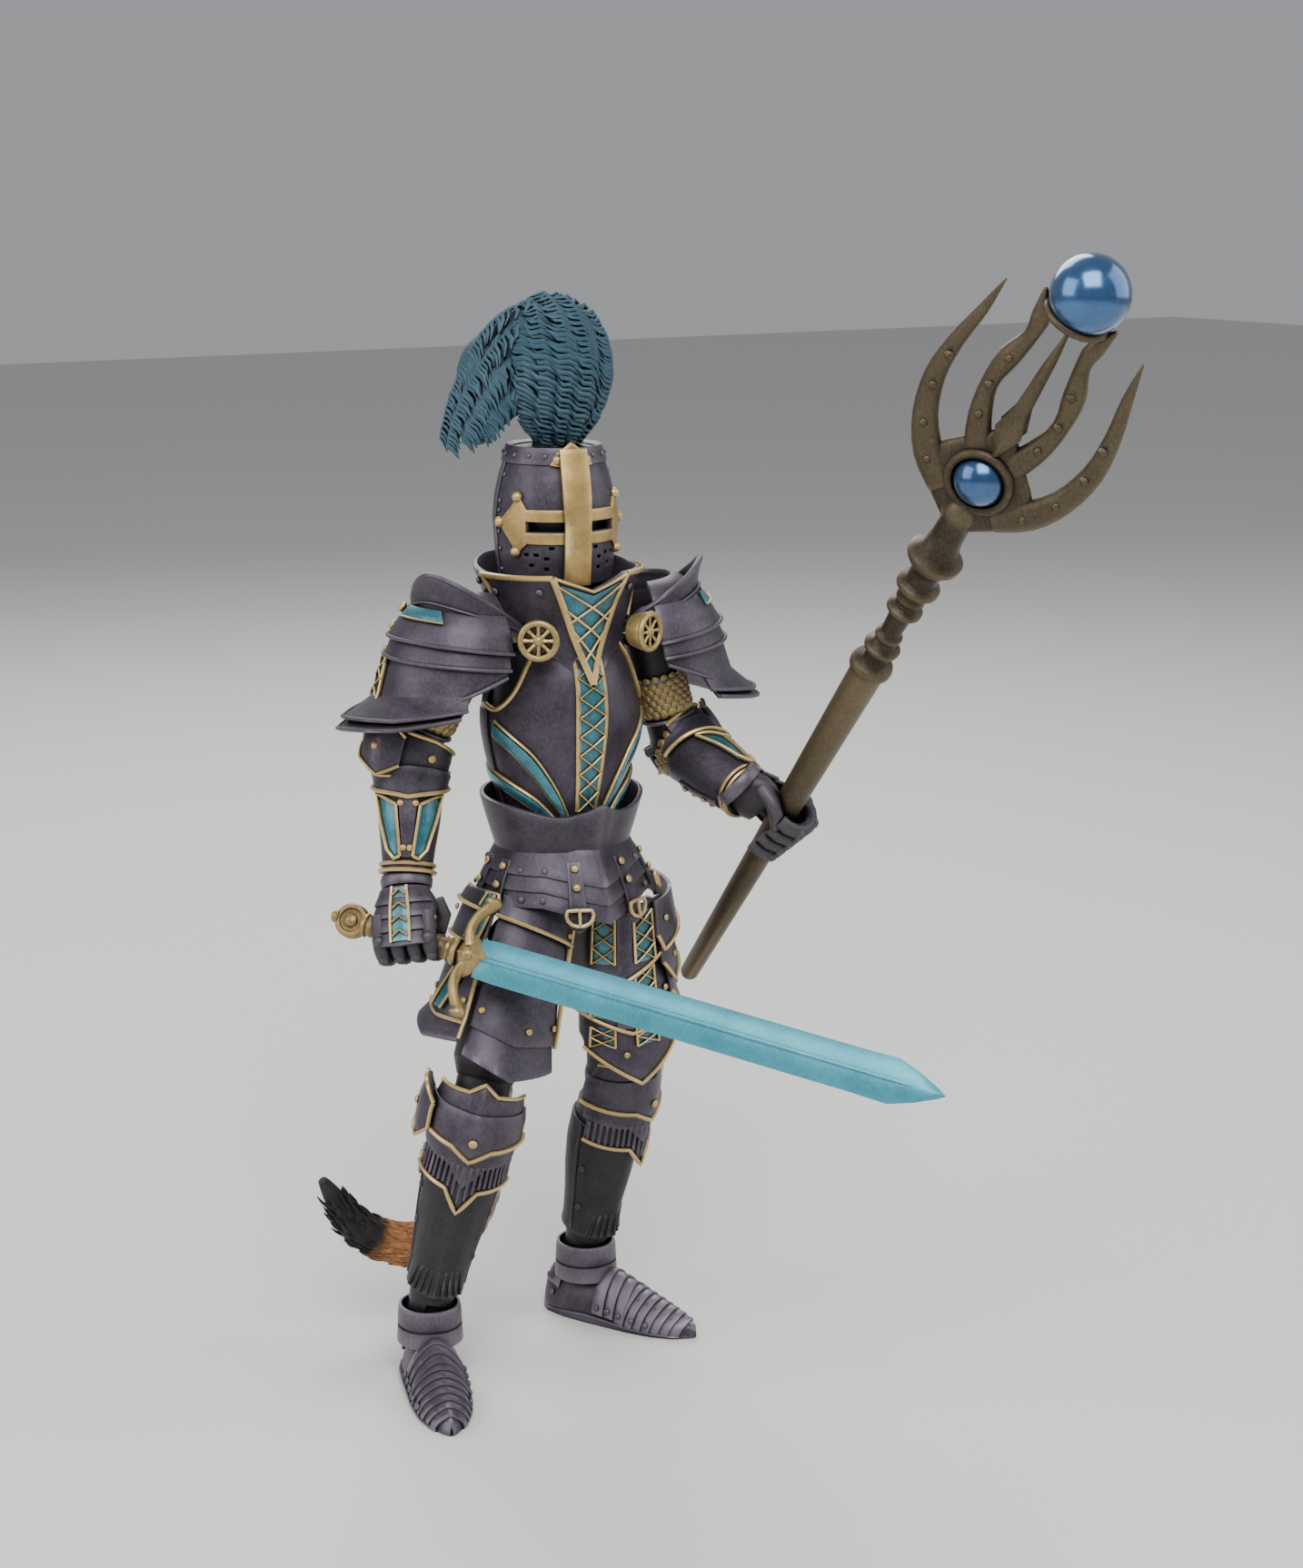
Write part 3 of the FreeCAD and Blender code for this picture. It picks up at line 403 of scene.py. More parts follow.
def traced(path, count, rounded=False):
    """Evenly spread points along a path; every corner of the path gets a point of its own."""
    path = [Vector(p) if len(p) == 3 else Vector((*p, 0.0)) for p in path]
    reach = [0.0]
    for a, b in zip(path, path[1:]):
        step = b - a
        reach.append(reach[-1] + Vector((step.x * 0.2, step.y, step.z)).length + 1e-6)
    marks = [min(max(round(r / reach[-1] * count), i), count - (len(path) - 1 - i))
             for i, r in enumerate(reach)]
    points = []
    for i in range(len(path) - 1):
        for k in range(marks[i], marks[i + 1]):
            t = (k - marks[i]) / (marks[i + 1] - marks[i])
            if rounded:
                points.append(curve(*neighbours(path, i), t))
            else:
                points.append(path[i].lerp(path[i + 1], t))
    return points + [path[-1]]


class Form:
    """A smooth surface round an upright line, through (height, half width, half depth, x, y)."""

    def __init__(self, sections, side=1, keel=0.0, keel_width=25.0, keel_turn=0.0):
        self.sections = [tuple(s) + (0.0,) * (5 - len(s)) for s in sorted(sections)]
        self.side = side
        self.keel = keel
        self.keel_width = keel_width
        self.keel_turn = keel_turn

    def point(self, turn, height, lift=0.0):
        half_x, half_y, x, y = (along([(s[0], s[k]) for s in self.sections], height) for k in (1, 2, 3, 4))
        ridge = self.keel * max(0.0, 1.0 - abs(turn - self.keel_turn) / self.keel_width)
        angle = math.radians(turn)
        return Vector((self.side * x + self.side * (half_x + lift + ridge) * math.sin(angle),
                       y - (half_y + lift + ridge) * math.cos(angle), height))

    def outward(self, turn, height):
        across = self.point(turn + 1.0, height) - self.point(turn - 1.0, height)
        rise = self.point(turn, height + 0.4) - self.point(turn, height - 0.4)
        return across.cross(rise).normalized() * self.side


def once(parts):
    """Mesh parts without repeats, in the order that they were met."""
    return list(dict.fromkeys(parts))


def panel(bm, form, low, high, wall=0.8, steps=(20, 5), rounded=False, gap=None):
    """A plate between two (turn, height, lift) edges, with a wall under it."""
    below = traced(low, steps[0], rounded)
    above = traced(high, steps[0], rounded)
    made = bmesh.ops.create_grid(bm, x_segments=steps[0], y_segments=steps[1], size=0.5)["verts"]
    where = {}
    for vert in made:
        column = round((vert.co.x + 0.5) * steps[0])
        spot = below[column].lerp(above[column], vert.co.y + 0.5)
        where[vert] = spot
        vert.co = form.point(*spot)
    faces = once(face for vert in made for face in vert.link_faces)
    if gap:
        gone = [f for f in faces if gap(sum((where[v] for v in f.verts), Vector()) / len(f.verts))]
        faces = [f for f in faces if f not in gone]
        bmesh.ops.delete(bm, geom=gone, context="FACES")
    if form.side < 0:
        bmesh.ops.reverse_faces(bm, faces=faces)
    bmesh.ops.remove_doubles(bm, verts=once(v for f in faces for v in f.verts), dist=0.0005)
    faces = [f for f in faces if f.is_valid]
    bmesh.ops.solidify(bm, geom=faces, thickness=wall)


def swept(bm, stations, segments=8, closed=False):
    """A tube whose unit circle is carried through a list of placements."""
    ring = bmesh.ops.create_circle(bm, cap_ends=False, segments=segments, radius=1.0)["verts"]
    edges = once(edge for vert in ring for edge in vert.link_edges)
    bmesh.ops.transform(bm, matrix=stations[0], verts=ring)
    first = edges
    for before, after in zip(stations, stations[1:]):
        made = bmesh.ops.extrude_edge_only(bm, edges=edges)["geom"]
        ring = [g for g in made if isinstance(g, bmesh.types.BMVert)]
        edges = [g for g in made if isinstance(g, bmesh.types.BMEdge)]
        bmesh.ops.transform(bm, matrix=after @ before.inverted(), verts=ring)
    if closed:
        bmesh.ops.bridge_loops(bm, edges=first + edges)
    else:
        bmesh.ops.contextual_create(bm, geom=first)
        bmesh.ops.contextual_create(bm, geom=edges)


def station(point, way, outward, half_width, half_height):
    """A placement for one ring of a tube."""
    z = way.normalized()
    x = outward.cross(z).normalized()
    y = z.cross(x)
    matrix = Matrix((x * half_width, y * half_height, z)).transposed().to_4x4()
    matrix.translation = point
    return matrix


def tube(bm, points, sizes, outward, segments=8, closed=False):
    """A tube through points; sizes are (half width, half height) or one pair for all."""
    stations = []
    count = len(points)
    for i, point in enumerate(points):
        before = points[i - 1] if closed or i else point
        after = points[(i + 1) % count] if closed or i < count - 1 else point
        size = sizes if isinstance(sizes, tuple) else sizes[i]
        face = outward[i] if isinstance(outward, list) else outward
        stations.append(station(point, after - before, face, *size))
    swept(bm, stations, segments, closed)


def eased(points, sizes, times=3):
    """More stations on a rounded curve through points and their sizes."""
    rows = [Vector((*point, *size)) for point, size in zip(points, sizes)]
    spots = rounded_rows(rows, times) + [rows[-1]]
    return [Vector(s[:3]) for s in spots], [(max(s[3], 0.05), max(s[4], 0.05)) for s in spots]


def trim(bm, form, path, width=0.9, height=0.7, count=24, rounded=False, segments=6, lift=0.0):
    """A raised line laid on a form."""
    spots = traced(path, count, rounded)
    points = [form.point(p.x, p.y, p.z + lift) for p in spots]
    outward = [form.outward(p.x, p.y) for p in spots]
    tube(bm, points, (width / 2, height / 2), outward, segments)


def rivet(bm, point, outward, radius=0.75, height=0.6):
    """A domed stud."""
    turn = outward.to_track_quat("Z", "Y").to_matrix().to_4x4()
    matrix = Matrix.Translation(point) @ turn @ Matrix.Diagonal((1, 1, height, 1))
    bmesh.ops.create_uvsphere(bm, u_segments=10, v_segments=7, radius=radius, matrix=matrix)


def studs(bm, form, spots, radius=0.75):
    """Rivets on a form at (turn, height, lift)."""
    for turn, height, lift in spots:
        rivet(bm, form.point(turn, height, lift), form.outward(turn, height), radius)


def turned(bm, profile, segments=32):
    """A body of revolution about Z through (radius, height) from the bottom up."""
    swept(bm, [Matrix.Translation((0, 0, z)) @ Matrix.Diagonal((r, r, 1, 1)) for r, z in profile], segments)


def ball(bm, centre, size, segments=20):
    """A sphere, or an ellipsoid when size is three half widths."""
    scale = size if isinstance(size, tuple) else (size, size, size)
    matrix = Matrix.Translation(centre) @ Matrix.Diagonal((*scale, 1))
    bmesh.ops.create_uvsphere(bm, u_segments=segments, v_segments=segments // 2, radius=1.0, matrix=matrix)


def lattice(bm, form, left, right, crossings, width=0.45, height=0.5, lift=0.0):
    """Gold lines that cross from side to side of a strip."""
    a = traced(left, crossings)
    b = traced(right, crossings)
    for i in range(crossings):
        ends = ((a[i], b[i + 1]), (b[i], a[i + 1]))
        for start, stop in ends:
            trim(bm, form, [tuple(start), tuple(stop)], width, height, 5, lift=lift)


# ---- pieces --------------------------------------------------------------------------------
def finished(name, bm, place, body, finish, nodes=(), edge=0.0):
    """Turns a mesh built in one bone's frame into a piece that rides on a body."""
    bmesh.ops.remove_doubles(bm, verts=bm.verts, dist=0.0004)
    bmesh.ops.recalc_face_normals(bm, faces=bm.faces)
    if edge:
        sharp = [e for e in bm.edges if e.is_manifold and e.calc_face_angle() > math.radians(38)]
        bmesh.ops.bevel(bm, geom=sharp, offset=edge, segments=2, profile=0.5, affect="EDGES", material=-1,
                        clamp_overlap=True)
    bmesh.ops.transform(bm, matrix=METRES @ place, verts=bm.verts)
    if place.to_3x3().determinant() < 0:
        bmesh.ops.reverse_faces(bm, faces=bm.faces)
    for face in bm.faces:
        face.smooth = True
    for e in bm.edges:
        e.smooth = not (e.is_manifold and e.calc_face_angle() > math.radians(52))
    mesh = bpy.data.meshes.new(name)
    bm.to_mesh(mesh)
    bm.free()
    piece = bpy.data.objects.new(name, mesh)
    bpy.context.scene.collection.objects.link(piece)
    material, slot = FINISHES[finish]
    mesh.materials.append(material)
    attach(piece, body)
    if nodes:
        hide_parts(*nodes)
    return piece


# ---- trunk ---------------------------------------------------------------------------------
def pelvis_pieces():
    """The waist guard, the belt lames and the buckled straps over them."""
    skirt = Form([(105.2, 14.9, 12.9, 0, 1), (99, 13.2, 11.0, 0, 1), (95, 12.0, 9.6, 0, 1)], keel=1.3,
                 keel_width=16)
    bm = bmesh.new()
    top = [(-180, 106.2), (-120, 105.6), (-70, 104.8), (-30, 102.9), (-12, 103.6), (0, 104.9), (12, 103.6),
           (30, 102.9), (70, 104.8), (120, 105.6), (180, 106.2)]
    panel(bm, skirt, [(-180, 95.2), (0, 95.2), (180, 95.2)], top, 0.8, (96, 8), True)
    finished("waist_guard_plate", bm, BODY, "pelvis", "armour", ["waist_guard"], 0.12)

    bm = bmesh.new()
    lames = Form([(97, 12.0, 9.7, 0, 1), (92, 14.0, 11.6, 0, 1), (88, 15.2, 12.8, 0, 1),
                  (83, 15.9, 13.6, 0, 1)],
                 keel=1.5, keel_width=20)
    levels = ((97.4, 92.8, 90.6, 0.0), (93.6, 90.2, 87.6, 0.1), (91.0, 87.6, 84.6, 0.2))
    for high, side, tip, lift in levels:
        below = [(-180, side + 0.4, lift + 0.7), (-40, side, lift + 0.7), (0, tip, lift + 0.9),
                 (40, side, lift + 0.7), (180, side + 0.4, lift + 0.7)]
        above = [(-180, high, lift), (-40, high, lift), (0, high, lift), (40, high, lift),
                 (180, high, lift)]
        panel(bm, lames, below, above, 0.7, (96, 4))
    finished("belt_lame_plates", bm, BODY, "pelvis", "armour", ["belt_lames"], 0.1)

    straps, buckles = bmesh.new(), bmesh.new()
    for turn in (-100, -76, -18, 22, 62, 100):
        low = 84.4 if abs(turn) < 40 else 86.6
        panel(straps, lames, [(turn - 5, low, 1.7), (turn, low - 1.1, 1.7), (turn + 5, low, 1.7)],
              [(turn - 5, 95.0, 0.5), (turn, 95.0, 0.5), (turn + 5, 95.0, 0.5)], 0.6, (6, 8))
        studs(buckles, lames, [(turn, 94.0, 1.0), (turn, 91.0, 1.5)], 0.7)
        ring = [lames.point(turn + 7.5 * math.cos(a), low + 2.2 + 1.9 * min(math.sin(a), 0.45), 2.3)
                for a in (i * math.tau / 14 for i in range(14))]
        tube(buckles, ring, (0.34, 0.34), lames.outward(turn, low + 2), 6, True)
        tube(buckles, [lames.point(turn, low + 0.4, 2.5), lames.point(turn, low + 3.3, 2.5)], (0.28, 0.28),
             lames.outward(turn, low + 2), 6)
    finished("belt_straps_leather", straps, BODY, "pelvis", "armour", ["belt_straps"], 0.08)
    finished("belt_buckles", buckles, BODY, "pelvis", "gold")
    bm = bmesh.new()
    studs(bm, lames, [(t, 93.6, 0.6) for t in (-150, -125, -60, -40, 45, 85, 120, 165)], 0.6)
    studs(bm, lames, [(t, 89.0, 1.2) for t in (-125, -55, -40, 42, 82, 125)], 0.55)
    finished("belt_rivets", bm, BODY, "pelvis", "armour")


CHEST = [(100, 10.4, 8.4, 0, 1.5), (104, 10.9, 9.4, 0, 1.5), (108, 12.0, 10.4, 0, 1.5),
         (113, 13.3, 11.4, 0, 1.5), (119, 14.1, 12.2, 0, 1.5), (125, 13.2, 12.0, 0, 1.5),
         (130, 12.1, 10.4, 0, 1.5), (134.4, 9.8, 8.2, 0, 1.5)]


def smoothed(sections, times=3):
    """More sections along a rounded curve through the given ones."""
    spots = rounded_rows([Vector(s[:3]) for s in sections], times)
    rows = [(*spot, *sections[i // times][3:]) for i, spot in enumerate(spots)]
    return rows + [sections[-1]]


def chest_pieces():
    """The breastplate with its teal fields, and the backplate."""
    chest = Form(smoothed(CHEST), keel=0.8, keel_width=40)
    top = [(-90, 121.5), (-74, 121.0), (-60, 123.8), (-48, 129.0), (-38, 133.6), (0, 134.2), (38, 133.6),
           (48, 129.0), (60, 123.8), (74, 121.0), (90, 121.5)]
    front, back, gold, teal = (bmesh.new() for _ in range(4))
    panel(front, chest, [(-90, 100.6), (0, 100.6), (90, 100.6)], top, 1.2, (72, 30), True)
    high = [(t + 180, h) for t, h in top]
    panel(back, chest, [(90, 100.6), (180, 100.6), (270, 100.6)], high, 1.2, (72, 26), True)
    for side in (-1, 1):
        band = Form(chest.sections, side, chest.keel, chest.keel_width)
        trim(gold, band, [(38, 133.6, 0.2), (48, 129.2, 0.2), (60, 123.9, 0.2), (74, 121.2, 0.2),
                          (90, 121.6, 0.2)], 0.9, 0.8, 30, True)
        trim(gold, band, [(10.5, 130.5, 0.2), (10.0, 118, 0.2), (8.0, 103.5, 0.2)], 0.85, 0.8, 30, True)
        first = [(75, 119.2, 0.1), (58, 116.8, 0.1), (42, 113.6, 0.1), (28, 108.6, 0.1), (16, 102.8, 0.1)]
        second = [(77, 116.2, 0.1), (62, 114.4, 0.1), (48, 111.2, 0.1), (33, 106.4, 0.1), (20, 102.6, 0.1)]
        third = [(108, 110.6, 0.1), (84, 109.6, 0.1), (62, 107.8, 0.1), (44, 105.6, 0.1), (28, 102.4, 0.1)]
        fourth = [(108, 107.8, 0.1), (84, 107.2, 0.1), (64, 105.6, 0.1), (48, 103.8, 0.1), (34, 102.2, 0.1)]
        for upper, lower in ((first, second), (third, fourth)):
            for edge in (upper, lower):
                trim(gold, band, edge, 0.55, 0.8, 26, True, lift=0.15)
            inner = [tuple(Vector(u).lerp(Vector(v), 0.12)) for u, v in zip(upper, lower)]
            outer = [tuple(Vector(u).lerp(Vector(v), 0.88)) for u, v in zip(upper, lower)]
            panel(teal, band, [(a, b, c + 0.25) for a, b, c in outer],
                  [(a, b, c + 0.25) for a, b, c in inner], 0.5, (26, 2), True)
            lattice(gold, band, inner, outer, 9, 0.3, 0.45, 0.3)
        panel(front, band, [(86, 101, 0.5), (100, 101, 0.5)], [(86, 121, 0.5), (100, 121, 0.5)], 0.5,
              (4, 12))
    left, right = [(-10, 130.5, 0.3), (-7.5, 103.5, 0.3)], [(10, 130.5, 0.3), (7.5, 103.5, 0.3)]
    panel(teal, chest, [(-10.2, 129.8, 0.35), (-8, 103.5, 0.35)], [(10.2, 129.8, 0.35), (8, 103.5, 0.35)],
          0.6, (28, 8))
    lattice(gold, chest, left, right, 8, 0.32, 0.5, 0.25)
    finished("breastplate", front, TORSO, "torso", "armour", ["chest_front"], 0.1)
    finished("backplate", back, TORSO, "torso", "armour", ["chest_back"], 0.1)
    spine = bmesh.new()
    for edge in (((171, 131, 0.3), (172, 102, 0.3)), ((189, 131, 0.3), (188, 102, 0.3))):
        trim(gold, chest, edge, 0.7, 0.7, 20)
    panel(spine, chest, [(172, 131, 0.3), (173, 102, 0.3)], [(188, 131, 0.3), (187, 102, 0.3)], 0.5,
          (24, 6))
    finished("backplate_spine", spine, TORSO, "torso", "armour", (), 0.08)
    finished("chest_inlay", teal, TORSO, "torso", "inlay", (), 0.05)
    finished("chest_trim", gold, TORSO, "torso", "gold")


GORGET = [(125.6, 10.6, 13.1, 0, 2.2), (131.6, 10.8, 11.9, 0, 2.2), (137.5, 12.2, 12.5, 0, 2.2),
          (141, 13.2, 13.3, 0, 2.2), (146, 15.0, 15.0, 0, 2.2)]


def gorget_pieces():
    """The high collar with its teal front, and the two spoked rosettes."""
    collar = Form(smoothed(GORGET), keel=0.5, keel_width=30)
    dark, gold, teal = (bmesh.new() for _ in range(3))
    top = [(-180, 145.9), (-140, 145.7), (-95, 144.4), (-88, 144.2), (-28, 144.4), (0, 141.8), (28, 144.4),
           (88, 144.2), (95, 144.4), (140, 145.7), (180, 145.9)]
    low = [(-180, 130.0), (-95, 131.6), (-64, 132.6), (-30, 130.2), (0, 125.9), (30, 130.2), (64, 132.6),
           (95, 131.6), (180, 130.0)]
    panel(dark, collar, low, top, 0.9, (120, 16))
    for side in (-1, 1):
        half = Form(collar.sections, side, 0.5, 30)
        trim(gold, half, [(28, 144.4, 0.3), (88, 144.1, 0.3)], 1.0, 0.8, 18)
        trim(gold, half, [(86, 144.1, 0.3), (64, 132.8, 0.3)], 0.9, 0.8, 10)
        trim(gold, half, [(28, 144.5, 0.4), (15, 135.0, 0.4), (0, 126.0, 0.5)], 1.3, 0.9, 20)
        studs(dark, half, [(76, 141.4, 0.2), (62, 135.4, 0.2), (38, 141.8, 0.2), (100, 142.5, 0.2),
                           (130, 143.5, 0.2), (160, 144.0, 0.2)], 0.7)
        trim(dark, half, [(92, 141.2, 0.2), (88, 132.0, 0.2)], 0.7, 0.8, 10)
    panel(teal, collar, [(-14, 135.0, 0.35), (0, 135.0, 0.35), (14, 135.0, 0.35)],
          [(-26, 143.4, 0.35), (0, 141.2, 0.35), (26, 143.4, 0.35)], 0.6, (14, 8))
    panel(teal, collar, [(-1.5, 127.0, 0.4), (1.5, 127.0, 0.4)], [(-14, 135.0, 0.35), (14, 135.0, 0.35)],
          0.6, (10, 10))
    for a, b in (((-26, 143.2), (17, 136.4)), ((26, 143.2), (-17, 136.4)), ((-20, 139.0), (12, 133.0)),
                 ((20, 139.0), (-12, 133.0)), ((-15, 135.4), (6, 129.6)), ((15, 135.4), (-6, 129.6))):
        trim(gold, collar, [(*a, 0.6), (*b, 0.6)], 0.45, 0.5, 12)
    trim(gold, collar, [(-27, 144.4, 0.4), (0, 141.9, 0.4), (27, 144.4, 0.4)], 0.5, 0.6, 16)
    finished("gorget_plates", dark, TORSO, "torso", "armour", ["gorget"], 0.1)
    finished("gorget_trim", gold, TORSO, "torso", "gold")
    finished("gorget_inlay", teal, TORSO, "torso", "inlay", (), 0.06)
    wheels = bmesh.new()
    for side in (-1, 1):
        place = shifted(side * 9.9, -11.6, 134.4) @ Matrix.Rotation(math.radians(side * 30), 4, "Z")
        place = place @ Matrix.Rotation(math.radians(90), 4, "X")
        before = set(wheels.verts)
        rim = [Vector((3.0 * math.cos(a), 3.0 * math.sin(a), 1.1)) for a in
               (i * math.tau / 28 for i in range(28))]
        tube(wheels, rim, (0.55, 0.5), UP, 8, True)
        turned(wheels, [(2.7, -2.2), (3.3, 0.0), (3.3, 0.75), (2.7, 0.9), (2.6, 0.35), (0.01, 0.35)], 28)
        for k in range(8):
            way = Vector((math.cos(k * math.tau / 8), math.sin(k * math.tau / 8), 0))
            tube(wheels, [way * 0.5 + UP * 0.95, way * 1.7 + UP * 0.85, way * 2.9 + UP * 0.95],
                 [(0.42, 0.4), (0.24, 0.35), (0.5, 0.4)], UP, 6)
        ball(wheels, (0, 0, 1.0), (0.95, 0.95, 0.7), 12)
        bmesh.ops.transform(wheels, matrix=place, verts=[v for v in wheels.verts if v not in before])
    finished("rosette_wheels", wheels, TORSO, "torso", "brass", ["rosettes"])


# ---- head ----------------------------------------------------------------------------------
def helmet_pieces():
    """The helmet with eye slits and breaths, and the cross-shaped face plate."""
    skull = Form([(142.2, 9.8, 10.2, 0, 3.5), (148, 10.3, 10.8, 0, 3.5), (153, 10.6, 11.0, 0, 3.5),
                  (157, 10.2, 10.6, 0, 3.5), (160, 9.5, 10.0, 0, 3.5), (165.6, 7.7, 8.3, 0, 3.5)])
    pattern = ((22, 6), (30, 8), (40, 6), (26, 3), (36, 4), (46, 4), (20, 1), (30, 0), (50, 7), (42, 1))
    sites = [(side * t, 144.9 + h * 0.6) for side in (-1, 1) for t, h in pattern]

    def opening(spot):
        slit = 9 < abs(spot.x) < 46 and abs(spot.y - 152.3) < 0.9
        return slit or any(abs(spot.x - t) < 2.5 and abs(spot.y - h) < 0.3 for t, h in sites)

    shell, gold = bmesh.new(), bmesh.new()
    panel(shell, skull, [(-180, 142.4), (0, 142.4), (180, 142.4)],
          [(-180, 164.0), (0, 164.0), (180, 164.0)], 0.9, (72, 36), gap=opening)
    panel(shell, skull, [(-180, 162.6, 0.35), (0, 162.6, 0.35), (180, 162.6, 0.35)],
          [(-180, 165.4, 0.35), (0, 165.4, 0.35), (180, 165.4, 0.35)], 1.4, (72, 3))
    swept(shell, [shifted(0, 3.5, z) @ Matrix.Diagonal((r, r * 1.07, 1, 1)) for r, z in
                  ((7.6, 163.6), (7.6, 164.7), (6.0, 164.9), (2.0, 165.1), (0.02, 165.1))], 40)
    studs(shell, skull, [(t, 164.0, 0.4) for t in range(-170, 180, 20)], 0.45)
    for side in (-1, 1):
        half = Form(skull.sections, side)
        trim(shell, half, [(88, 142.6), (88, 162.6)], 0.5, 0.7, 20)
        studs(shell, half, [(82, h, 0.1) for h in (144.5, 148.0, 151.0, 154.6, 156.2, 160.6)], 0.42)
        lobe = [(46, 149.3, 0.4), (56, 147.6, 0.4), (64, 149.6, 0.4), (77, 152.4, 0.4)]
        crest = [(46, 155.3, 0.4), (55, 157.6, 0.4), (63, 155.4, 0.4), (77, 152.9, 0.4)]
        panel(gold, half, lobe, crest, 0.9, (16, 6))
        for spot in ((56, 157.2), (58, 147.9), (77, 152.7)):
            ball(gold, half.point(*spot, 0.3), 0.95, 12)
        for low, high in ((153.2, 155.2), (149.4, 151.3)):
            panel(gold, half, [(8, low, 0.4), (48, low, 0.4)], [(8, high, 0.4), (48, high, 0.4)], 0.9,
                  (18, 3))
        ball(gold, half.point(16, 163.4, 0.5), 0.95, 12)
    panel(gold, skull, [(-11.5, 142.6, 0.75), (-10.8, 153, 0.75), (-14.5, 165, 0.75)],
          [(11.5, 142.6, 0.75), (10.8, 153, 0.75), (14.5, 165, 0.75)], 1.2, (28, 6))
    panel(gold, skull, [(-24, 162.6, 0.7), (0, 162.0, 0.9), (24, 162.6, 0.7)],
          [(-17, 164.6, 0.8), (0, 166.4, 0.8), (17, 164.6, 0.8)], 1.0, (12, 5))
    finished("helmet_plates", shell, HEAD, "head", "armour", ["helmet_shell"], 0.07)
    finished("helmet_cross_plate", gold, HEAD, "head", "gold", ["helmet_cross"], 0.1)
    bm = bmesh.new()
    studs(bm, skull, [(s * t, h, 0.7) for s in (-1, 1) for t,
                      h in ((56, 156.9), (58, 148.1), (16, 163.4))], 0.35)
    finished("helmet_cross_rivets", bm, HEAD, "head", "mail")


def lock(bm, path, width, count, reach):
    """A feather laid along a path: short curved barbs, one above the other."""
    spots = traced(path, count, True)
    heart = Vector((-1.5, 6.0, 176.0))
    for i in range(1, count):
        way = (spots[i] - spots[i - 1]).normalized()
        out = spots[i] - heart
        out = (out - way * out.dot(way)).normalized()
        side = way.cross(out)
        half = width * (0.6 + 0.4 * math.sin(math.pi * i / count)) * random.uniform(0.65, 1.25)
        tilt = random.uniform(-0.5, 0.5) + 1.7
        line = [spots[i] + side * half * t - way * (abs(t) * reach + t * tilt - 0.5 * math.sin(t * 4.0))
                + out * (0.9 - 1.2 * t * t)
                for t in (-1.0, -0.55, 0.0, 0.55, 1.0)]
        thick = random.uniform(0.28, 0.5)
        tube(bm, line, [(0.15, 0.12), (thick, thick * 0.8), (thick, thick), (thick, thick * 0.8),
                        (0.15, 0.12)],
             out, 5)


def plume_piece():
    """A full body of feathers that rises and falls over to one side."""
    right = Vector((0.934, -0.358, 0))
    away = Vector((0.358, 0.934, 0))
    base = Vector((0, 3.5, 165))

    def seen(points):
        return [tuple(base + right * r + away * d + UP * z) for r, d, z in points]

    bm = bmesh.new()
    for (r, d, z), size in (((2.0, 0, 13.0), (6.6, 7.6, 11.3)), ((-4.0, 0, 15.5), (7.4, 7.6, 8.2)),
                            ((-10.5, 0, 11.0), (6.0, 6.0, 8.2)), ((0.5, 0, 3.5), (3.6, 4.4, 5.0)),
                            ((-13.0, 0, 6.0), (3.6, 4.2, 6.0))):
        ball(bm, base + right * r + away * d + UP * z, size, 24)
    swept(bm, [shifted(0, 3.5, z) @ Matrix.Diagonal((r, r, 1, 1)) for r, z in
               ((1.6, 157.6), (1.6, 164.9), (3.8, 165.0), (3.4, 167.0))], 24)
    feathers = (
        ((3.4, -1.5, 0.6), (6.6, -2.5, 5), (8.8, -2, 11), (8.4, -1, 17), (5.8, 0, 22), (1, 0, 24.6)),
        ((2.6, -2.6, 0.6), (4.6, -5.6, 6), (5.9, -6.6, 12), (5.2, -5.4, 18), (3.0, -2.8, 23), (0, 0, 25)),
        ((1.2, -3.0, 0.6), (2.0, -6.6, 6), (2.6, -8.2, 12), (2.2, -7.2, 18), (0.6, -4.4, 22.6),
         (-2, 0, 25)),
        ((-0.6, -3.0, 0.8), (-1.0, -6.8, 6), (-0.8, -8.6, 12), (-1.4, -7.8, 17), (-2.6, -4.8, 22),
         (-4, 0, 24)),
        ((-2.4, -2.6, 1.5), (-4.2, -6.2, 6), (-4.2, -8.2, 11), (-4.6, -7.6, 16), (-5.4, -4.6, 20.6),
         (-6, 0, 22.6)),
        ((0, -1, 24.4), (-6, -3.4, 22.6), (-11, -3.2, 18.6), (-14.6, -2.4, 12.5), (-17.2, -1.6, 6),
         (-18.4, -1, 0.6)),
        ((-2, -5, 20.8), (-7, -6.2, 18.6), (-11, -5.8, 14), (-14, -5, 8.6), (-16.2, -3.6, 3),
         (-17, -2.6, -0.6)),
        ((-4, -7.4, 15), (-7.6, -7.4, 13), (-10.6, -6.6, 9), (-13, -5.6, 4.6), (-14.6, -4.2, 0.8)),
        ((-3.4, -7.0, 9), (-6.4, -7.0, 8.6), (-9.4, -6.4, 6), (-11.6, -5.4, 2.6)))
    for path in feathers:
        for flip in (1, -1):
            lock(bm, seen([(r, d * flip, z) for r, d, z in path]), 2.6, 34, 0.7)
    finished("plume_feathers", bm, HEAD, "plume", "plume", ["plume"])


# ---- legs ----------------------------------------------------------------------------------
def layered(bm, form, rows, wall=0.7, columns=30, rims=None, gold=None):
    """Overlapping plates: rows are (lower edge, upper edge); gold edges on the rims asked for."""
    for i, (low, high) in enumerate(rows):
        panel(bm, form, low, high, wall, (columns, 6))
        if gold is not None and (rims is None or i in rims):
            trim(gold, form, low, 0.75, 0.7, columns, lift=0.15)


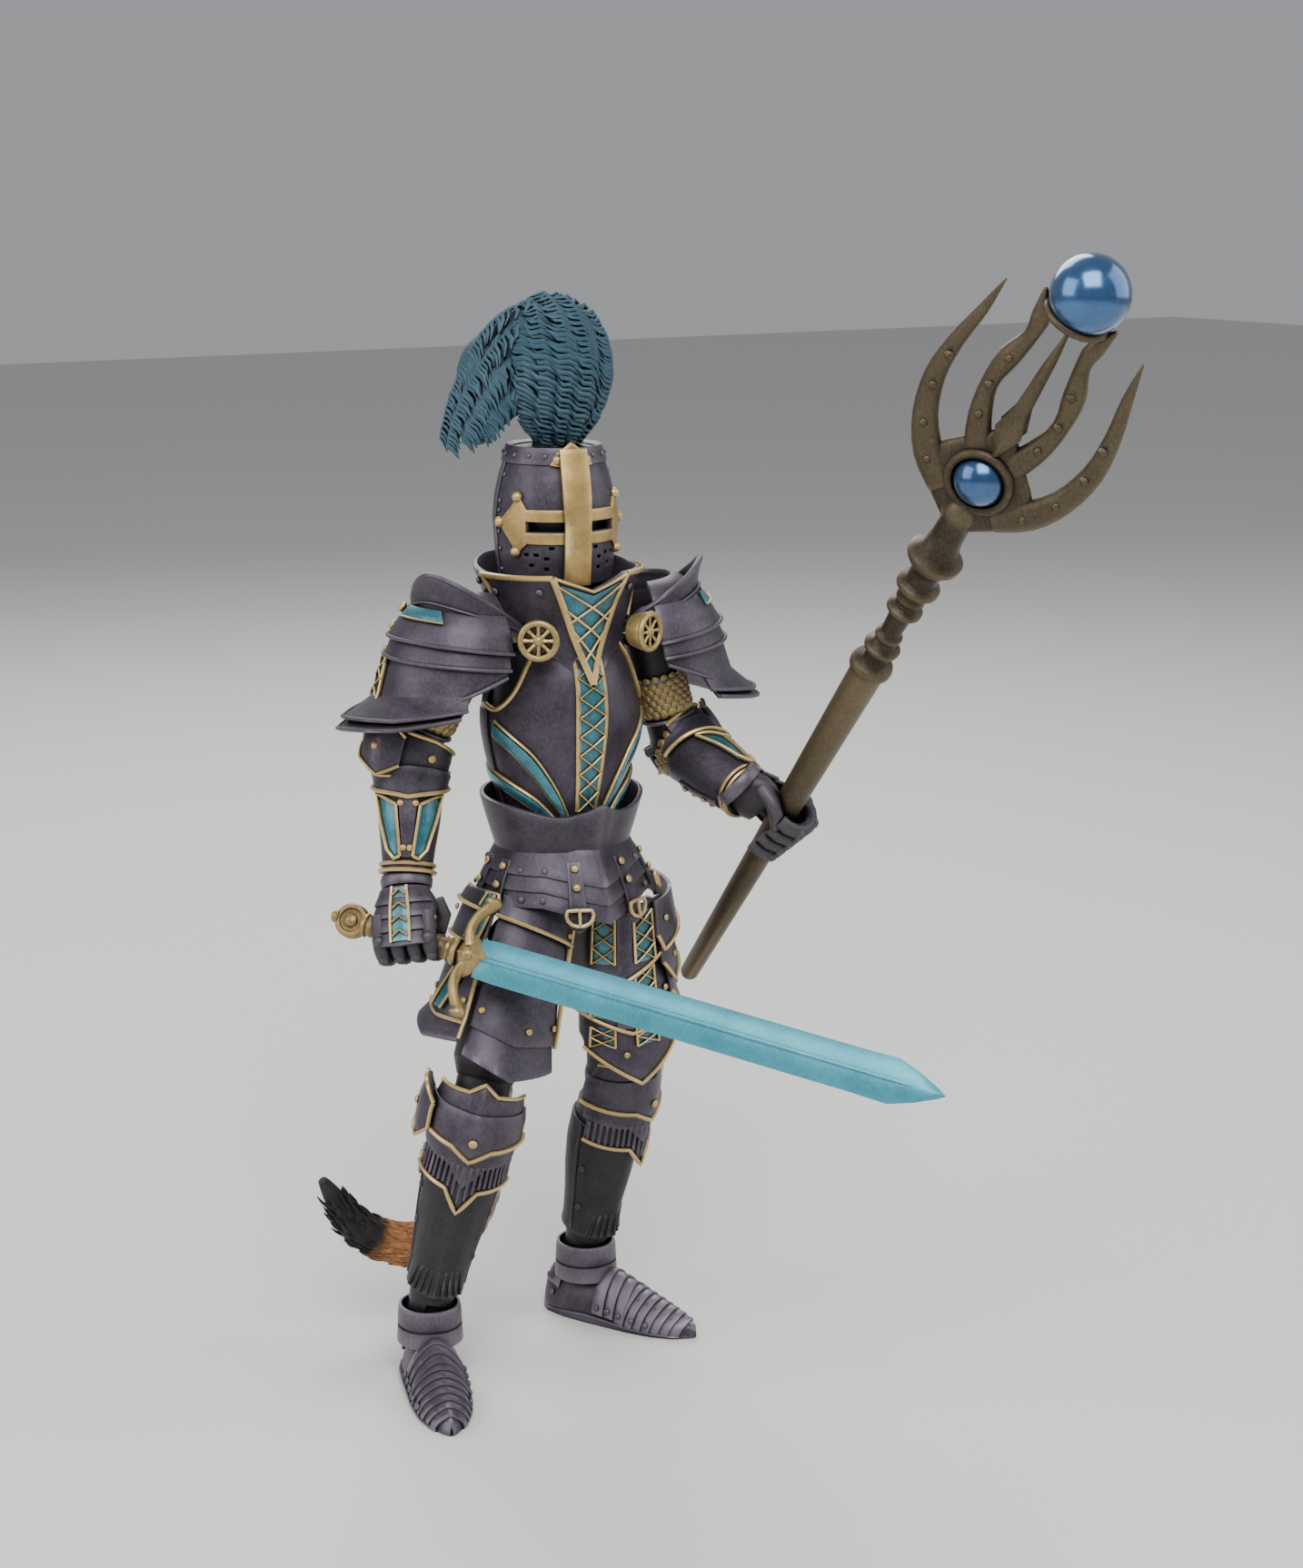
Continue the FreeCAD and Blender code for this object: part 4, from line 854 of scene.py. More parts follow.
def tasset_pieces():
    """The hinged front and side skirt plates of both thighs."""
    for s, letter in SIDES.items():
        form = Form([(8, 8.6, 8.6), (0, 9.3, 9.3), (-8, 10.0, 10.0), (-16, 10.7, 10.7), (-27, 11.6, 11.6)],
                    s)
        outer = Form([(8, 9.8, 9.8), (0, 10.5, 10.5), (-8, 11.0, 11.0), (-16, 11.6, 11.6),
                      (-27, 12.2, 12.2)], s)
        front, side, gold, edge, teal, inset = (bmesh.new() for _ in range(6))
        if s < 0:
            rows = [([(-38, -21.0, 0.9), (10, -24.0, 1.1), (54, -21.0, 0.9)], [(-38, -15.5), (54, -15.0)]),
                    ([(-38, -16.5, 0.6), (10, -18.0, 0.6), (54, -16.0, 0.6)], [(-38, -4.4), (54, -2.2)]),
                    ([(-38, -6.0, 0.9), (14, -4.9, 0.9), (54, -3.0, 0.9)],
                     [(-38, 2.2, 0.3), (54, 4.0, 0.3)]),
                    ([(-38, 1.0, 1.2), (0, 2.0, 1.2), (54, 3.4, 1.2)], [(-38, 6.6, 0.6), (54, 7.2, 0.6)])]
            layered(front, form, rows, rims=(2, 3), gold=gold)
            trim(gold, form, [(-38, -17, 0.7), (-38, 6, 1.1)], 0.8, 0.9, 20)
            studs(gold, form, [(-31, -13.6, 0.7), (-31, -4.2, 1.0), (-31, 2.6, 1.2), (46, -13.0, 0.7),
                               (0, -15.0, 0.7)], 0.62)
            rows = [([(57, -19.0, 1.6), (90, -19.2, 2.6), (122, -15.5, 2.2)], [(57, -14.6), (122, -11.8)]),
                    ([(57, -15.8, 0.6), (90, -15.4, 0.6), (122, -12.6, 0.6)], [(57, -2.0), (122, 0.4)]),
                    ([(57, -2.9, 0.9), (122, -0.5, 0.9)], [(57, 4.0, 0.3), (122, 5.6, 0.3)]),
                    ([(57, 3.4, 1.2), (122, 5.6, 1.2)], [(57, 7.2, 0.6), (122, 7.6, 0.6)])]
            layered(side, outer, rows, rims=(1, 2, 3), gold=edge)
            trim(edge, outer, [(57, -18.6, 1.4), (57, -14.8, 0.6), (57, -2.8, 0.5)], 0.7, 0.8, 16)
            for left, right in (([(62, -3.6, 0.35), (84, -14.2, 0.95)],
                                 [(76, -3.4, 0.35), (100, -13.8, 0.95)]),
                                ([(59, 3.0, 0.7), (63, -1.8, 1.2)], [(70, 3.2, 0.7), (77, -1.4, 1.2)]),
                                ([(58, 6.6, 1.0), (58, 4.2, 1.4)], [(66, 6.8, 1.0), (69, 4.4, 1.4)])):
                panel(inset, outer, [left[1], right[1]], [left[0], right[0]], 0.5, (4, 8))
                for line in (left, right):
                    trim(edge, outer, line, 0.5, 0.7, 10, lift=0.2)
            studs(edge, outer, [(116, -10.4, 0.6), (63, -12.0, 0.6), (112, -2.4, 1.0), (112, 3.6, 1.2)],
                  0.62)
        else:
            rows = [([(-58, -19.0, 0.9), (-8, -26.0, 1.1), (38, -20.0, 0.9)], [(-62, -11.0), (42, -13.5)]),
                    ([(-78, -11.7, 0.6), (-14, -16.6, 0.6), (44, -14.7, 0.6)], [(-78, -2.0), (40, -2.0)]),
                    ([(-80, -3.8, 1.1), (-24, -7.0, 1.1), (38, -1.0, 1.1)],
                     [(-80, 6.6, 0.5), (38, 7.0, 0.5)])]
            layered(front, form, rows, gold=gold)
            for a, b in ((-52, -30), (-10, 12)):
                for high, low, lift in ((5.8, -3.4, 1.1), (-4.6, -13.6, 0.75), (-15.4, -19.0, 0.7)):
                    left, right = [(a, high, lift - 0.3), (a, low, lift)], [(b, high, lift - 0.3),
                                                                            (b, low, lift)]
                    panel(teal, form, [left[1], right[1]], [left[0], right[0]], 0.5, (6, 8))
                    for line in (left, right):
                        trim(gold, form, line, 0.55, 0.7, 10, lift=0.2)
                    lattice(gold, form, left, right, 2 if low < -18 else 3, 0.35, 0.5, 0.3)
            panel(front, form, [(-28, -15.6, 0.9), (-12, -15.6, 0.9)], [(-28, 6.0, 1.2), (-12, 6.0, 1.2)],
                  0.6, (4, 12))
            studs(gold, form, [(-70, 2, 1.1), (-66, -8.5, 0.8), (28, -10, 0.7), (-20, -20.5, 0.9)], 0.62)
            rows = [([(34, -11.0, 0.3), (57, -16.2, 0.4), (112, -10.0, 0.3)], [(32, -5.0), (112, -4.0)]),
                    ([(20, -4.6, 0.7), (37, -8.8, 0.8), (112, -3.4, 0.7)],
                     [(18, 1.0, 0.2), (112, 2.0, 0.2)]),
                    ([(12, 1.2, 1.1), (19, -1.8, 1.2), (112, 3.4, 1.1)], [(14, 7.2, 0.6), (112, 7.6, 0.6)])]
            layered(side, outer, rows, gold=edge)
            panel(side, outer, [(56, -18.4, 0.4), (76, -18.4, 0.4)], [(56, -13.2, 0.2), (76, -13.2, 0.2)],
                  1.2, (6, 5))
            studs(edge, outer, [(26, 3.6, 1.0), (44, -4.6, 0.6), (64, -11.6, 0.3), (104, -6.4, 0.3),
                                (104, 5.0, 1.0)], 0.62)
        place = TASSET[s]
        front_body, side_body = "tasset_front_" + letter, "tasset_side_" + letter
        finished(front_body + "_plates", front, place, front_body, "armour", [front_body], 0.08)
        finished(side_body + "_plates", side, place, side_body, "armour", [side_body], 0.08)
        finished(front_body + "_trim", gold, place, front_body, "gold")
        finished(side_body + "_trim", edge, place, side_body, "gold")
        for name, mesh, body in ((front_body, teal, front_body), (side_body, inset, side_body)):
            if len(mesh.verts):
                finished(name + "_inlay", mesh, place, body, "inlay", (), 0.04)
            else:
                mesh.free()


def shin_pieces():
    """The knee plates with their side wing and fluted skirt, and the greaves."""
    for s, letter in SIDES.items():
        body = "shin_" + letter
        knee = Form([(8.4, 6.3, 6.3), (5, 7.4, 7.6), (1, 8.1, 8.5), (-3, 7.9, 8.5), (-7, 7.2, 7.8),
                     (-15, 6.9, 7.4)], s, 0.7, 26)
        dark, gold = bmesh.new(), bmesh.new()
        panel(dark, knee, [(-88, 2.4), (0, 1.4), (88, 2.4)], [(-80, 5.6), (-20, 6.6), (0, 8.6), (20, 6.6),
                                                              (80, 5.6)],
              0.8, (36, 5))
        trim(gold, knee, [(-80, 5.6, 0.1), (-20, 6.6, 0.1), (0, 8.6, 0.1), (20, 6.6, 0.1), (80, 5.6, 0.1)],
             0.7, 0.8, 30)
        panel(dark, knee, [(-92, -2.4, 0.6), (0, -4.8, 0.8), (92, -2.4, 0.6)],
              [(-92, 3.0, 0.3), (0, 3.6, 0.5), (92, 3.0, 0.3)], 0.8, (36, 6))
        trim(gold, knee, [(-92, -2.2, 0.8), (-22, -3.1, 0.8), (0, -5.0, 1.0), (22, -3.1, 0.8),
                          (92, -2.2, 0.8)],
             0.85, 0.8, 34)
        rivet(gold, knee.point(0, -1.4, 0.8), knee.outward(0, -1.4), 0.8)
        panel(dark, knee, [(-88, -5.8, 0.5), (-24, -7.0, 0.5), (0, -10.4, 0.7), (24, -7.0, 0.5),
                           (88, -5.8, 0.5)],
              [(-88, -2.2, 0.1), (0, -3.6, 0.2), (88, -2.2, 0.1)], 0.7, (36, 5))
        panel(dark, knee, [(-84, -10.4, 0.5), (-20, -11.4, 0.5), (0, -15.0, 0.7), (20, -11.4, 0.5),
                           (84, -10.4, 0.5)],
              [(-84, -5.0), (0, -7.0), (84, -5.0)], 0.6, (48, 6))
        for turn in range(-78, 80, 8):
            low = -10.6 if abs(turn) > 20 else -10.6 - (20 - abs(turn)) * 0.16
            trim(dark, knee, [(turn, low, 0.45), (turn, -6.2, 0.15)], 0.8, 0.9, 5)
        trim(gold, knee, [(-84, -10.4, 0.8), (-20, -11.4, 0.8), (0, -15.2, 1.0), (20, -11.4, 0.8),
                          (84, -10.4, 0.8)], 0.8, 0.8, 34)
        wing = [(60, -2.6, 1.2), (76, -5.2, 2.4), (104, -4.2, 2.6), (122, -1.0, 1.8)]
        peak = [(60, 2.2, 1.2), (76, 4.6, 2.4), (104, 5.0, 2.6), (122, 1.4, 1.8)]
        panel(dark, knee, wing, peak, 0.8, (14, 8))
        for line in (wing, peak):
            trim(gold, knee, [(a, b, c + 0.1) for a, b, c in line], 0.6, 0.8, 14)
        trim(gold, knee, [(60, -2.6, 1.3), (60, 2.2, 1.3)], 0.6, 0.8, 5)
        studs(gold, knee, [(90, 0.2, 2.6), (80, -9.0, 0.6)], 0.8)
        panel(dark, knee, [(74, -12.6, 0.7), (92, -12.6, 0.7)], [(70, -8.0, 0.6), (96, -8.0, 0.6)], 0.8,
              (8, 5))
        finished("poleyn_plates_" + letter, dark, SHIN[s], body, "armour", ["poleyn_" + letter], 0.08)
        finished("poleyn_trim_" + letter, gold, SHIN[s], body, "gold")
        leg = Form([(-9, 6.3, 6.4), (-14, 6.5, 6.7), (-20, 6.0, 6.3), (-26, 5.3, 5.5), (-31, 4.9, 5.1),
                    (-35, 5.0, 5.4)], s, 0.5, 20)
        dark = bmesh.new()
        end = (ANKLE[s] - KNEE[s]).length
        panel(dark, leg, [(-180, 4.6 - end, 0.1), (0, 4.2 - end, 0.2), (180, 4.6 - end, 0.1)],
              [(-180, -8.6), (0, -8.6), (180, -8.6)], 0.7, (64, 20), True)
        for turn in (-96, 96):
            trim(dark, leg, [(turn, 5.2 - end, 0.1), (turn, -9, 0.1)], 0.7, 0.8, 18)
        for turn in range(-60, 61, 15):
            trim(dark, leg, [(turn * 0.8, 9.6 - end, -0.1), (turn, 4.6 - end, 0.3)], 0.7, 0.9, 6)
        studs(dark, leg, [(84, -15, 0.1), (84, -22, 0.1), (84, -29, 0.1), (-84, -18, 0.1),
                          (-84, -27, 0.1)], 0.75)
        finished("greave_plates_" + letter, dark, SHIN[s], body, "dark_armour", (), 0.08)


class Shoe(Form):
    """A form lying along the foot, flat below."""

    def point(self, turn, height, lift=0.0):
        spot = super().point(turn, height, lift)
        spot.y = max(spot.y, 0.0)
        return spot


def foot_pieces():
    """The pointed shoes of overlapping lames, and the ankle cuffs."""
    shape = [(-8.4, 0.6, 3.0), (-7.8, 2.8, 6.4), (-6, 4.2, 8.0), (-2, 5.1, 8.8), (3, 5.3, 9.2),
             (7, 5.2, 8.6), (12, 5.1, 6.6), (17, 4.4, 4.8), (21, 2.9, 3.5), (23.4, 1.2, 2.6),
             (24.2, 0.3, 2.0)]
    for s, letter in SIDES.items():
        body = "foot_" + letter
        shoe = Shoe(shape, s, 0.6, 30, 180)
        place = FOOT[s] @ shifted(0, 0, -14) @ Matrix.Rotation(math.radians(90), 4, "X")
        dark, pins = bmesh.new(), bmesh.new()
        panel(dark, shoe, [(0, -8.4), (180, -8.4), (360, -8.4)], [(0, 24.2), (180, 24.2), (360, 24.2)],
              0.25, (56, 40))
        for i in range(3):
            back = 4.6 + 2.2 * i
            panel(dark, shoe, [(104, back, 0.1), (180, back, 0.2), (256, back, 0.1)],
                  [(104, back + 2.6, 0.5), (180, back + 2.6, 0.7), (256, back + 2.6, 0.5)], 0.5, (24, 2))
        for i in range(7):
            back = 10.6 + 1.75 * i
            panel(dark, shoe, [(97, back - 1.2, 0.1), (180, back + 0.4, 0.2), (263, back - 1.2, 0.1)],
                  [(97, back + 0.9, 0.45), (180, back + 2.6, 0.7), (263, back + 0.9, 0.45)], 0.45, (24, 2))
        for side in (1, -1):
            studs(pins, shoe, [(180 + side * 68, f, 0.5) for f in (5.6, 8.0, 10.4, 13.2, 16.0)], 0.6)
            studs(pins, shoe, [(180 + side * 62, -5.0, 0.3), (180 + side * 30, -7.2, 0.3)], 0.6)
        trim(dark, shoe, [(96, -6, 0.1), (100, 3, 0.2), (96, 22, 0.1)], 0.6, 0.7, 24)
        trim(dark, shoe, [(264, -6, 0.1), (260, 3, 0.2), (264, 22, 0.1)], 0.6, 0.7, 24)
        panel(dark, shoe, [(140, -8.3, 0.3), (180, -8.3, 0.4), (220, -8.3, 0.3)],
              [(125, -3.5, 0.4), (180, -3.0, 0.6), (235, -3.5, 0.4)], 0.6, (16, 5))
        finished("sabaton_plates_" + letter, dark, place, body, "armour", ["sabaton_" + letter], 0.05)
        finished("sabaton_rivets_" + letter, pins, place, body, "armour")
        cuff = bmesh.new()
        turned(cuff, [(5.0, -6.6), (5.9, -6.4), (5.75, -3.6), (5.45, -3.4), (5.75, -3.0), (5.6, -0.4),
                      (5.4, 0.4), (5.0, 0.4), (5.0, -0.2), (5.0, -3.0), (5.0, -6.5)], 44)
        finished("sabaton_cuff_" + letter, cuff, FOOT[s], body, "armour", (), 0.0)


# ---- weapons -------------------------------------------------------------------------------
def sword_pieces():
    """The pommel, wrapped grip, curved guard and ridged blade."""
    place = WEAPON[-1]
    gold, grip, blade = (bmesh.new() for _ in range(3))
    for face in (-1, 1):
        disc = shifted(0, 0, -10.6) @ Matrix.Rotation(math.radians(90 * face), 4, "X")
        before = set(gold.verts)
        turned(gold, [(2.9, 0.0), (3.0, 0.7), (2.7, 1.15), (2.1, 1.15), (1.95, 0.8), (1.2, 0.8), (1.1, 1.3),
                      (0.6, 1.6), (0.02, 1.7)], 32)
        bmesh.ops.transform(gold, matrix=disc, verts=[v for v in gold.verts if v not in before])
    turned(gold, [(0.7, -14.4), (1.1, -14.0), (1.0, -13.2), (1.6, -13.0)], 16)
    turned(gold, [(1.5, -8.6), (2.0, -8.4), (2.1, -7.8), (1.7, -7.5), (1.75, -7.2)], 20)
    turned(gold, [(1.75, 7.0), (2.1, 7.3), (1.9, 7.8), (2.3, 8.2), (2.5, 8.8), (2.3, 9.2)], 20)
    turned(grip, [(1.72 + (0.22 if i % 2 else 0.0), -7.4 + i * 0.5) for i in range(30)], 18)
    block = [shifted(0, 0, z) @ Matrix.Diagonal((w, d, 1, 1)) for z, w, d in
             ((8.4, 1.2, 1.4), (9.6, 2.8, 2.1), (11.2, 3.9, 2.3), (12.8, 2.6, 2.0), (14.6, 0.5, 1.3))]
    swept(gold, block, 4)
    for face in (-1, 1):
        rivet(gold, Vector((0, face * 1.9, 11.2)), Vector((0, face, 0)), 1.1)
    for side in (-1, 1):
        path = [Vector((side * 1.5, 0, 10.8)), Vector((side * 3.6, 0, 10.0)), Vector((side * 5.6, 0, 10.1)),
                Vector((side * 7.4, 0, 10.9)), Vector((side * 8.8, 0, 12.0)), Vector((side * 9.9, 0, 12.3)),
                Vector((side * 10.6, 0, 12.2))]
        sizes = [(1.3, 1.5), (1.0, 1.1), (0.9, 1.0), (0.95, 1.05), (1.1, 1.3), (1.5, 1.7), (0.5, 0.6)]
        tube(gold, *eased(path, sizes), Vector((0, 1, 0)), 12)
    swept(blade, [shifted(0, 0, z) @ Matrix.Diagonal((w, d, 1, 1)) for z, w, d in
                  ((12.6, 3.4, 1.0), (16, 3.6, 1.1), (50, 3.7, 1.05), (80, 3.75, 0.95), (86, 3.9, 0.9),
                   (90, 2.5, 0.7), (93.4, 0.9, 0.4), (94.8, 0.05, 0.05))], 4)
    for face in (-1, 1):
        tube(blade, [Vector((0, face * d, z)) for z, d in ((13, 0.95), (50, 1.0), (86, 0.85), (93, 0.35))],
             [(0.45, 0.22), (0.4, 0.2), (0.35, 0.18), (0.1, 0.05)], Vector((0, face, 0)), 6)
    finished("sword_fittings", gold, place, "sword", "brass", ["sword_hilt"], 0.05)
    finished("sword_grip_wrap", grip, place, "sword", "mail")
    finished("sword_blade_edge", blade, place, "sword", "blade", ["sword_blade"], 0.1)


def staff_pieces():
    """The tapered pole, the turned neck, the pronged crown and its pearls."""
    place = WEAPON[1]
    wood, metal, pearls = (bmesh.new() for _ in range(3))
    turned(wood, [(0.4, -46), (1.3, -45.8), (1.7, -45), (2.1, -20), (2.5, 10), (2.95, 40.6)], 28)
    profile = [(2.9, 40.4), (3.6, 40.9), (3.7, 41.6), (3.5, 42.4), (2.2, 42.8)]
    neck = ((2.0, 1), (2.2, 2.6), (3.0, 3.1), (3.1, 3.8), (2.1, 4.4), (1.7, 5.4), (2.3, 6), (2.3, 6.6),
            (1.7, 7.2), (1.9, 10.6), (2.0, 12.0), (3.0, 12.3), (3.0, 13.0), (2.1, 13.5), (2.0, 14.4),
            (2.5, 15.0), (2.3, 15.8), (2.2, 17.2), (3.6, 17.6), (3.6, 18.5), (2.5, 19.0), (2.5, 21.2),
            (3.2, 22.4), (4.5, 24.0), (4.6, 25.0), (4.0, 25.6), (3.0, 26.8), (2.6, 29), (2.5, 33),
            (3.0, 35), (2.0, 37.5), (0.5, 38.5))
    turned(metal, profile + [(r, 42.6 + z) for r, z in neck], 30)
    plate = [Vector((0, 0, z)) for z in (75.0, 78.5, 82.0, 86.0, 90.0, 93.5)]
    sizes = [(2.6, 1.6), (7.0, 1.6), (9.6, 1.5), (8.4, 1.4), (5.0, 1.2), (2.0, 1.0)]
    tube(metal, *eased(plate, sizes), Vector((0, 1, 0)), 20)
    for side in (-1, 1):
        outer = [Vector((side * x, 0, z)) for x, z in ((4.5, 80), (9.0, 83.4), (12.3, 89), (13.9, 96),
                                                       (13.6, 103), (12.4, 110), (11.6, 116.4))]
        sizes = [(3.0, 1.5), (2.6, 1.5), (2.1, 1.4), (1.7, 1.2), (1.3, 1.0), (0.9, 0.7), (0.15, 0.15)]
        tube(metal, *eased(outer, sizes), Vector((0, 1, 0)), 12)
        inner = [Vector((side * x, 0, z)) for x, z in ((2.5, 88), (5.0, 94), (6.2, 100), (5.6, 105.6),
                                                       (4.4, 110.6), (4.6, 114.6), (6.0, 118.6))]
        sizes = [(2.4, 1.3), (1.9, 1.3), (1.4, 1.2), (1.8, 1.4), (1.2, 1.1), (1.5, 1.2), (0.3, 0.3)]
        tube(metal, *eased(inner, sizes), Vector((0, 1, 0)), 12)
        for face in (-1, 1):
            for x, z in ((8.6, 83), (11.8, 88.4), (13.4, 95), (13.4, 101), (5.2, 95), (6.0, 100.4),
                         (5.4, 106)):
                ball(metal, Vector((side * x, face * 1.2, z)), 0.75, 8)
    for face in (-1, 1):
        tube(metal, [Vector((0, face * 1.3, z)) for z in (90, 95, 99, 108, 114.5)],
             [(0.5, 0.6), (2.3, 1.2), (1.2, 0.9), (0.8, 0.7), (0.2, 0.2)], Vector((0, face, 0)), 4)
        rim = [Vector((4.9 * math.cos(a), face * 1.4, 84.6 + 4.9 * math.sin(a)))
               for a in (i * math.tau / 32 for i in range(32))]
        tube(metal, rim, (0.8, 0.8), Vector((0, face, 0)), 8, True)
    cup = [Vector((4.6 * math.cos(a), 4.6 * math.sin(a),
                   117.4)) for a in (i * math.tau / 24 for i in range(24))]
    tube(metal, cup, (0.7, 0.7), UP, 8, True)
    ball(pearls, Vector((0, 0, 121.5)), 5.9, 40)
    ball(pearls, Vector((0, 0, 84.6)), 4.4, 32)
    finished("staff_pole", wood, place, "staff", "bronze", ["staff_shaft"])
    finished("staff_crown", metal, place, "staff", "bronze", ["staff_head"], 0.06)
    finished("staff_pearl_balls", pearls, place, "staff", "pearl", ["staff_pearls"])


# ---- tail ----------------------------------------------------------------------------------
def tail_piece():
    """A thick tail of short tufts, with the places that its colours follow."""
    spine = [(0, 8.8, 80), (-0.4, 12.4, 77), (-0.6, 17, 68), (-1.6, 20.2, 56), (-2.6, 22.6, 44),
             (-3.6, 24.2, 31), (-6.0, 25.6, 20.5), (-12.5, 26.8, 15.6), (-20.5, 27.2, 16.0),
             (-29, 27, 21.5), (-36, 26.5, 32)]
    sizes = [2.0, 2.6, 3.0, 3.4, 3.8, 4.3, 4.5, 4.4, 4.1, 3.5, 0.9]
    steps = 8
    count = steps * (len(spine) - 1)
    path = []
    for i, spot in enumerate(rounded_rows([Vector(p) for p in spine], steps)):
        place, part = i // steps, i % steps / steps
        path.append((spot, sizes[place] + (sizes[place + 1] - sizes[place]) * part))
    path.append((Vector(spine[-1]), sizes[-1]))
    bm = bmesh.new()
    tube(bm, [p for p, _ in path], [(r * 0.94, r * 0.94) for _, r in path], Vector((0.2, 1, 0.1)), 18)
    for _ in range(1500):
        i = random.randrange(1, count - 3)
        spot, size = path[i]
        way = (path[i + 1][0] - path[i - 1][0]).normalized()
        side = way.orthogonal().normalized()
        side = Matrix.Rotation(random.uniform(0, math.tau), 3, way) @ side
        root = spot + side * size * 0.86
        lean = (way + side * random.uniform(0.05, 0.22)).normalized()
        reach = random.uniform(2.0, 3.6)
        width = random.uniform(0.35, 0.6)
        tube(bm, [root, root + lean * reach * 0.5 + side * 0.15, root + lean * reach],
             [(width, 0.3), (width * 0.8, 0.28), (0.05, 0.05)], side, 4)
    piece = finished("tail_fur", bm, BODY, "tail", "fur", ["tail"])
    place = METRES @ BODY
    spots = [place @ p for p, _ in path]
    far = piece.data.attributes.new("along", "FLOAT", "POINT")
    tone = piece.data.attributes.new("strand", "FLOAT", "POINT")
    for vert in piece.data.vertices:
        near = min(range(len(spots)), key=lambda k: (spots[k] - vert.co).length_squared)
        far.data[vert.index].value = near / (len(spots) - 1)
        tone.data[vert.index].value = random.random()


# ---- arms ----------------------------------------------------------------------------------
def pauldron_pieces():
    """The shoulder lames with their flared lip and upright flange."""
    for s, letter in SIDES.items():
        body = "pauldron_" + letter
        form = Form([(-17, 17.5, 17.5), (-13, 15.6, 15.2), (-9.5, 14.2, 13.4), (-6, 13.6, 12.8),
                     (-2.5, 13.0, 12.4), (0, 12.5, 12.1), (3.5, 11.4, 11.2), (6.5, 9.6, 9.6),
                     (8.5, 7.6, 7.6), (9.6, 5.0, 5.0)], s)
        dark, gold, teal = (bmesh.new() for _ in range(3))
        rows = [([(22, -11.0, 1.4), (60, -14.0, 2.4), (117, -16.8, 3.2), (158, -12.0, 1.6)],
                 [(22, -8.4), (117, -11.0), (158, -9.0)]),
                ([(18, -9.6, 1.6), (60, -12.6, 2.6), (117, -14.6, 3.6), (165, -10.6, 1.8)],
                 [(18, -7.0, 0.2), (117, -9.6, 0.3), (165, -7.0, 0.2)]),
                ([(-10, -4.0, 0.3), (27, -8.6, 0.4), (60, -10.4, 0.6), (110, -11.6, 0.8), (150, -10.0, 0.5),
                  (182, -4.4, 0.3)], [(-10, -2.2, 0.3), (60, -2.0, 0.3), (182, -2.2, 0.3)]),
                ([(-12, -2.8, 0.7), (60, -3.0, 0.9), (182, -2.8, 0.7)], [(-12, 0.8, 0.3), (182, 1.2, 0.3)]),
                ([(-14, 0.0, 0.9), (60, 0.4, 1.1), (182, 0.2, 0.9)], [(-14, 6.0, 0.1), (182, 6.0, 0.1)])]
        layered(dark, form, rows, rims=(0, 1, 2, 3, 4), gold=dark, columns=36)
        panel(dark, form, [(-14, 4.6), (182, 4.6)], [(-14, 9.4), (182, 9.4)], 0.7, (30, 6))
        collar = Form([(2.5, 10.6, 10.4), (5, 10.0, 9.8), (8, 10.2, 10.0), (12, 11.4, 11.2)], s)
        crest = [(-50, 3.4), (-20, 5.6), (8, 8.0), (40, 10.6), (65, 11.6), (90, 9.4), (117, 6.4),
                 (128, 4.4)]
        panel(dark, collar, [(-50, 2.4), (128, 3.2)], crest, 0.9, (40, 8), True)
        trim(dark, collar, [(a, b, -0.3) for a, b in crest], 1.0, 0.9, 40, True)
        inner = [(-30, 3.6, 0.2), (8, 5.4, 0.2), (65, 7.0, 0.2), (110, 5.0, 0.2)]
        trim(dark, collar, inner, 0.5, 0.6, 26, True)
        panel(teal, form, [(91, -10.2, 0.95), (117, -10.4, 1.0)], [(95, -3.2, 0.75), (115, -3.2, 0.75)],
              0.5, (8, 8))
        trim(gold, form, [(91, -10.2, 1.0), (95, -3.0, 0.9)], 0.5, 0.6, 8)
        trim(gold, form, [(117, -10.4, 1.1), (115, -3.0, 0.9)], 0.5, 0.6, 8)
        lattice(gold, form, [(92, -3.6, 0.9), (92, -9.8, 1.0)], [(115, -3.6, 0.9), (116, -9.8, 1.0)], 2,
                0.3, 0.45, 0.25)
        panel(teal, form, [(44, 4.2, 0.95), (100, 4.2, 0.95)], [(50, 6.0, 0.7), (94, 6.0, 0.7)], 0.4,
              (16, 2))
        trim(gold, form, [(44, 4.1, 1.0), (100, 4.1, 1.0)], 0.35, 0.5, 16)
        studs(gold, form, [(124, 1.6, 1.0), (125, -2.6, 0.9), (125, -7.8, 1.0), (150, -6.6, 0.8),
                           (120, 5.0, 0.9)], 1.0)
        finished("pauldron_plates_" + letter, dark, PAULDRON[s], body, "armour", ["pauldron_" + letter],
                 0.08)
        finished("pauldron_trim_" + letter, gold, PAULDRON[s], body, "gold")
        finished("pauldron_inlay_" + letter, teal, PAULDRON[s], body, "inlay", (), 0.04)


def scales(bm, form, low, high, turns, size=1.1):
    """Rows of small overlapping scales."""
    row = 0
    height = low
    while height < high:
        shift = 0.5 if row % 2 else 0.0
        for i in range(turns[2]):
            turn = turns[0] + (turns[1] - turns[0]) * (i + shift) / turns[2]
            out = form.outward(turn, height)
            face = (out * 0.9 + UP * -0.25).normalized().to_track_quat("Z", "Y").to_matrix().to_4x4()
            matrix = Matrix.Translation(form.point(turn, height, 0.15)) @ face @ Matrix.Diagonal((1, 1.15,
                                                                                                  0.4, 1))
            bmesh.ops.create_uvsphere(bm, u_segments=8, v_segments=4, radius=size, matrix=matrix)
        row += 1
        height += size * 1.15


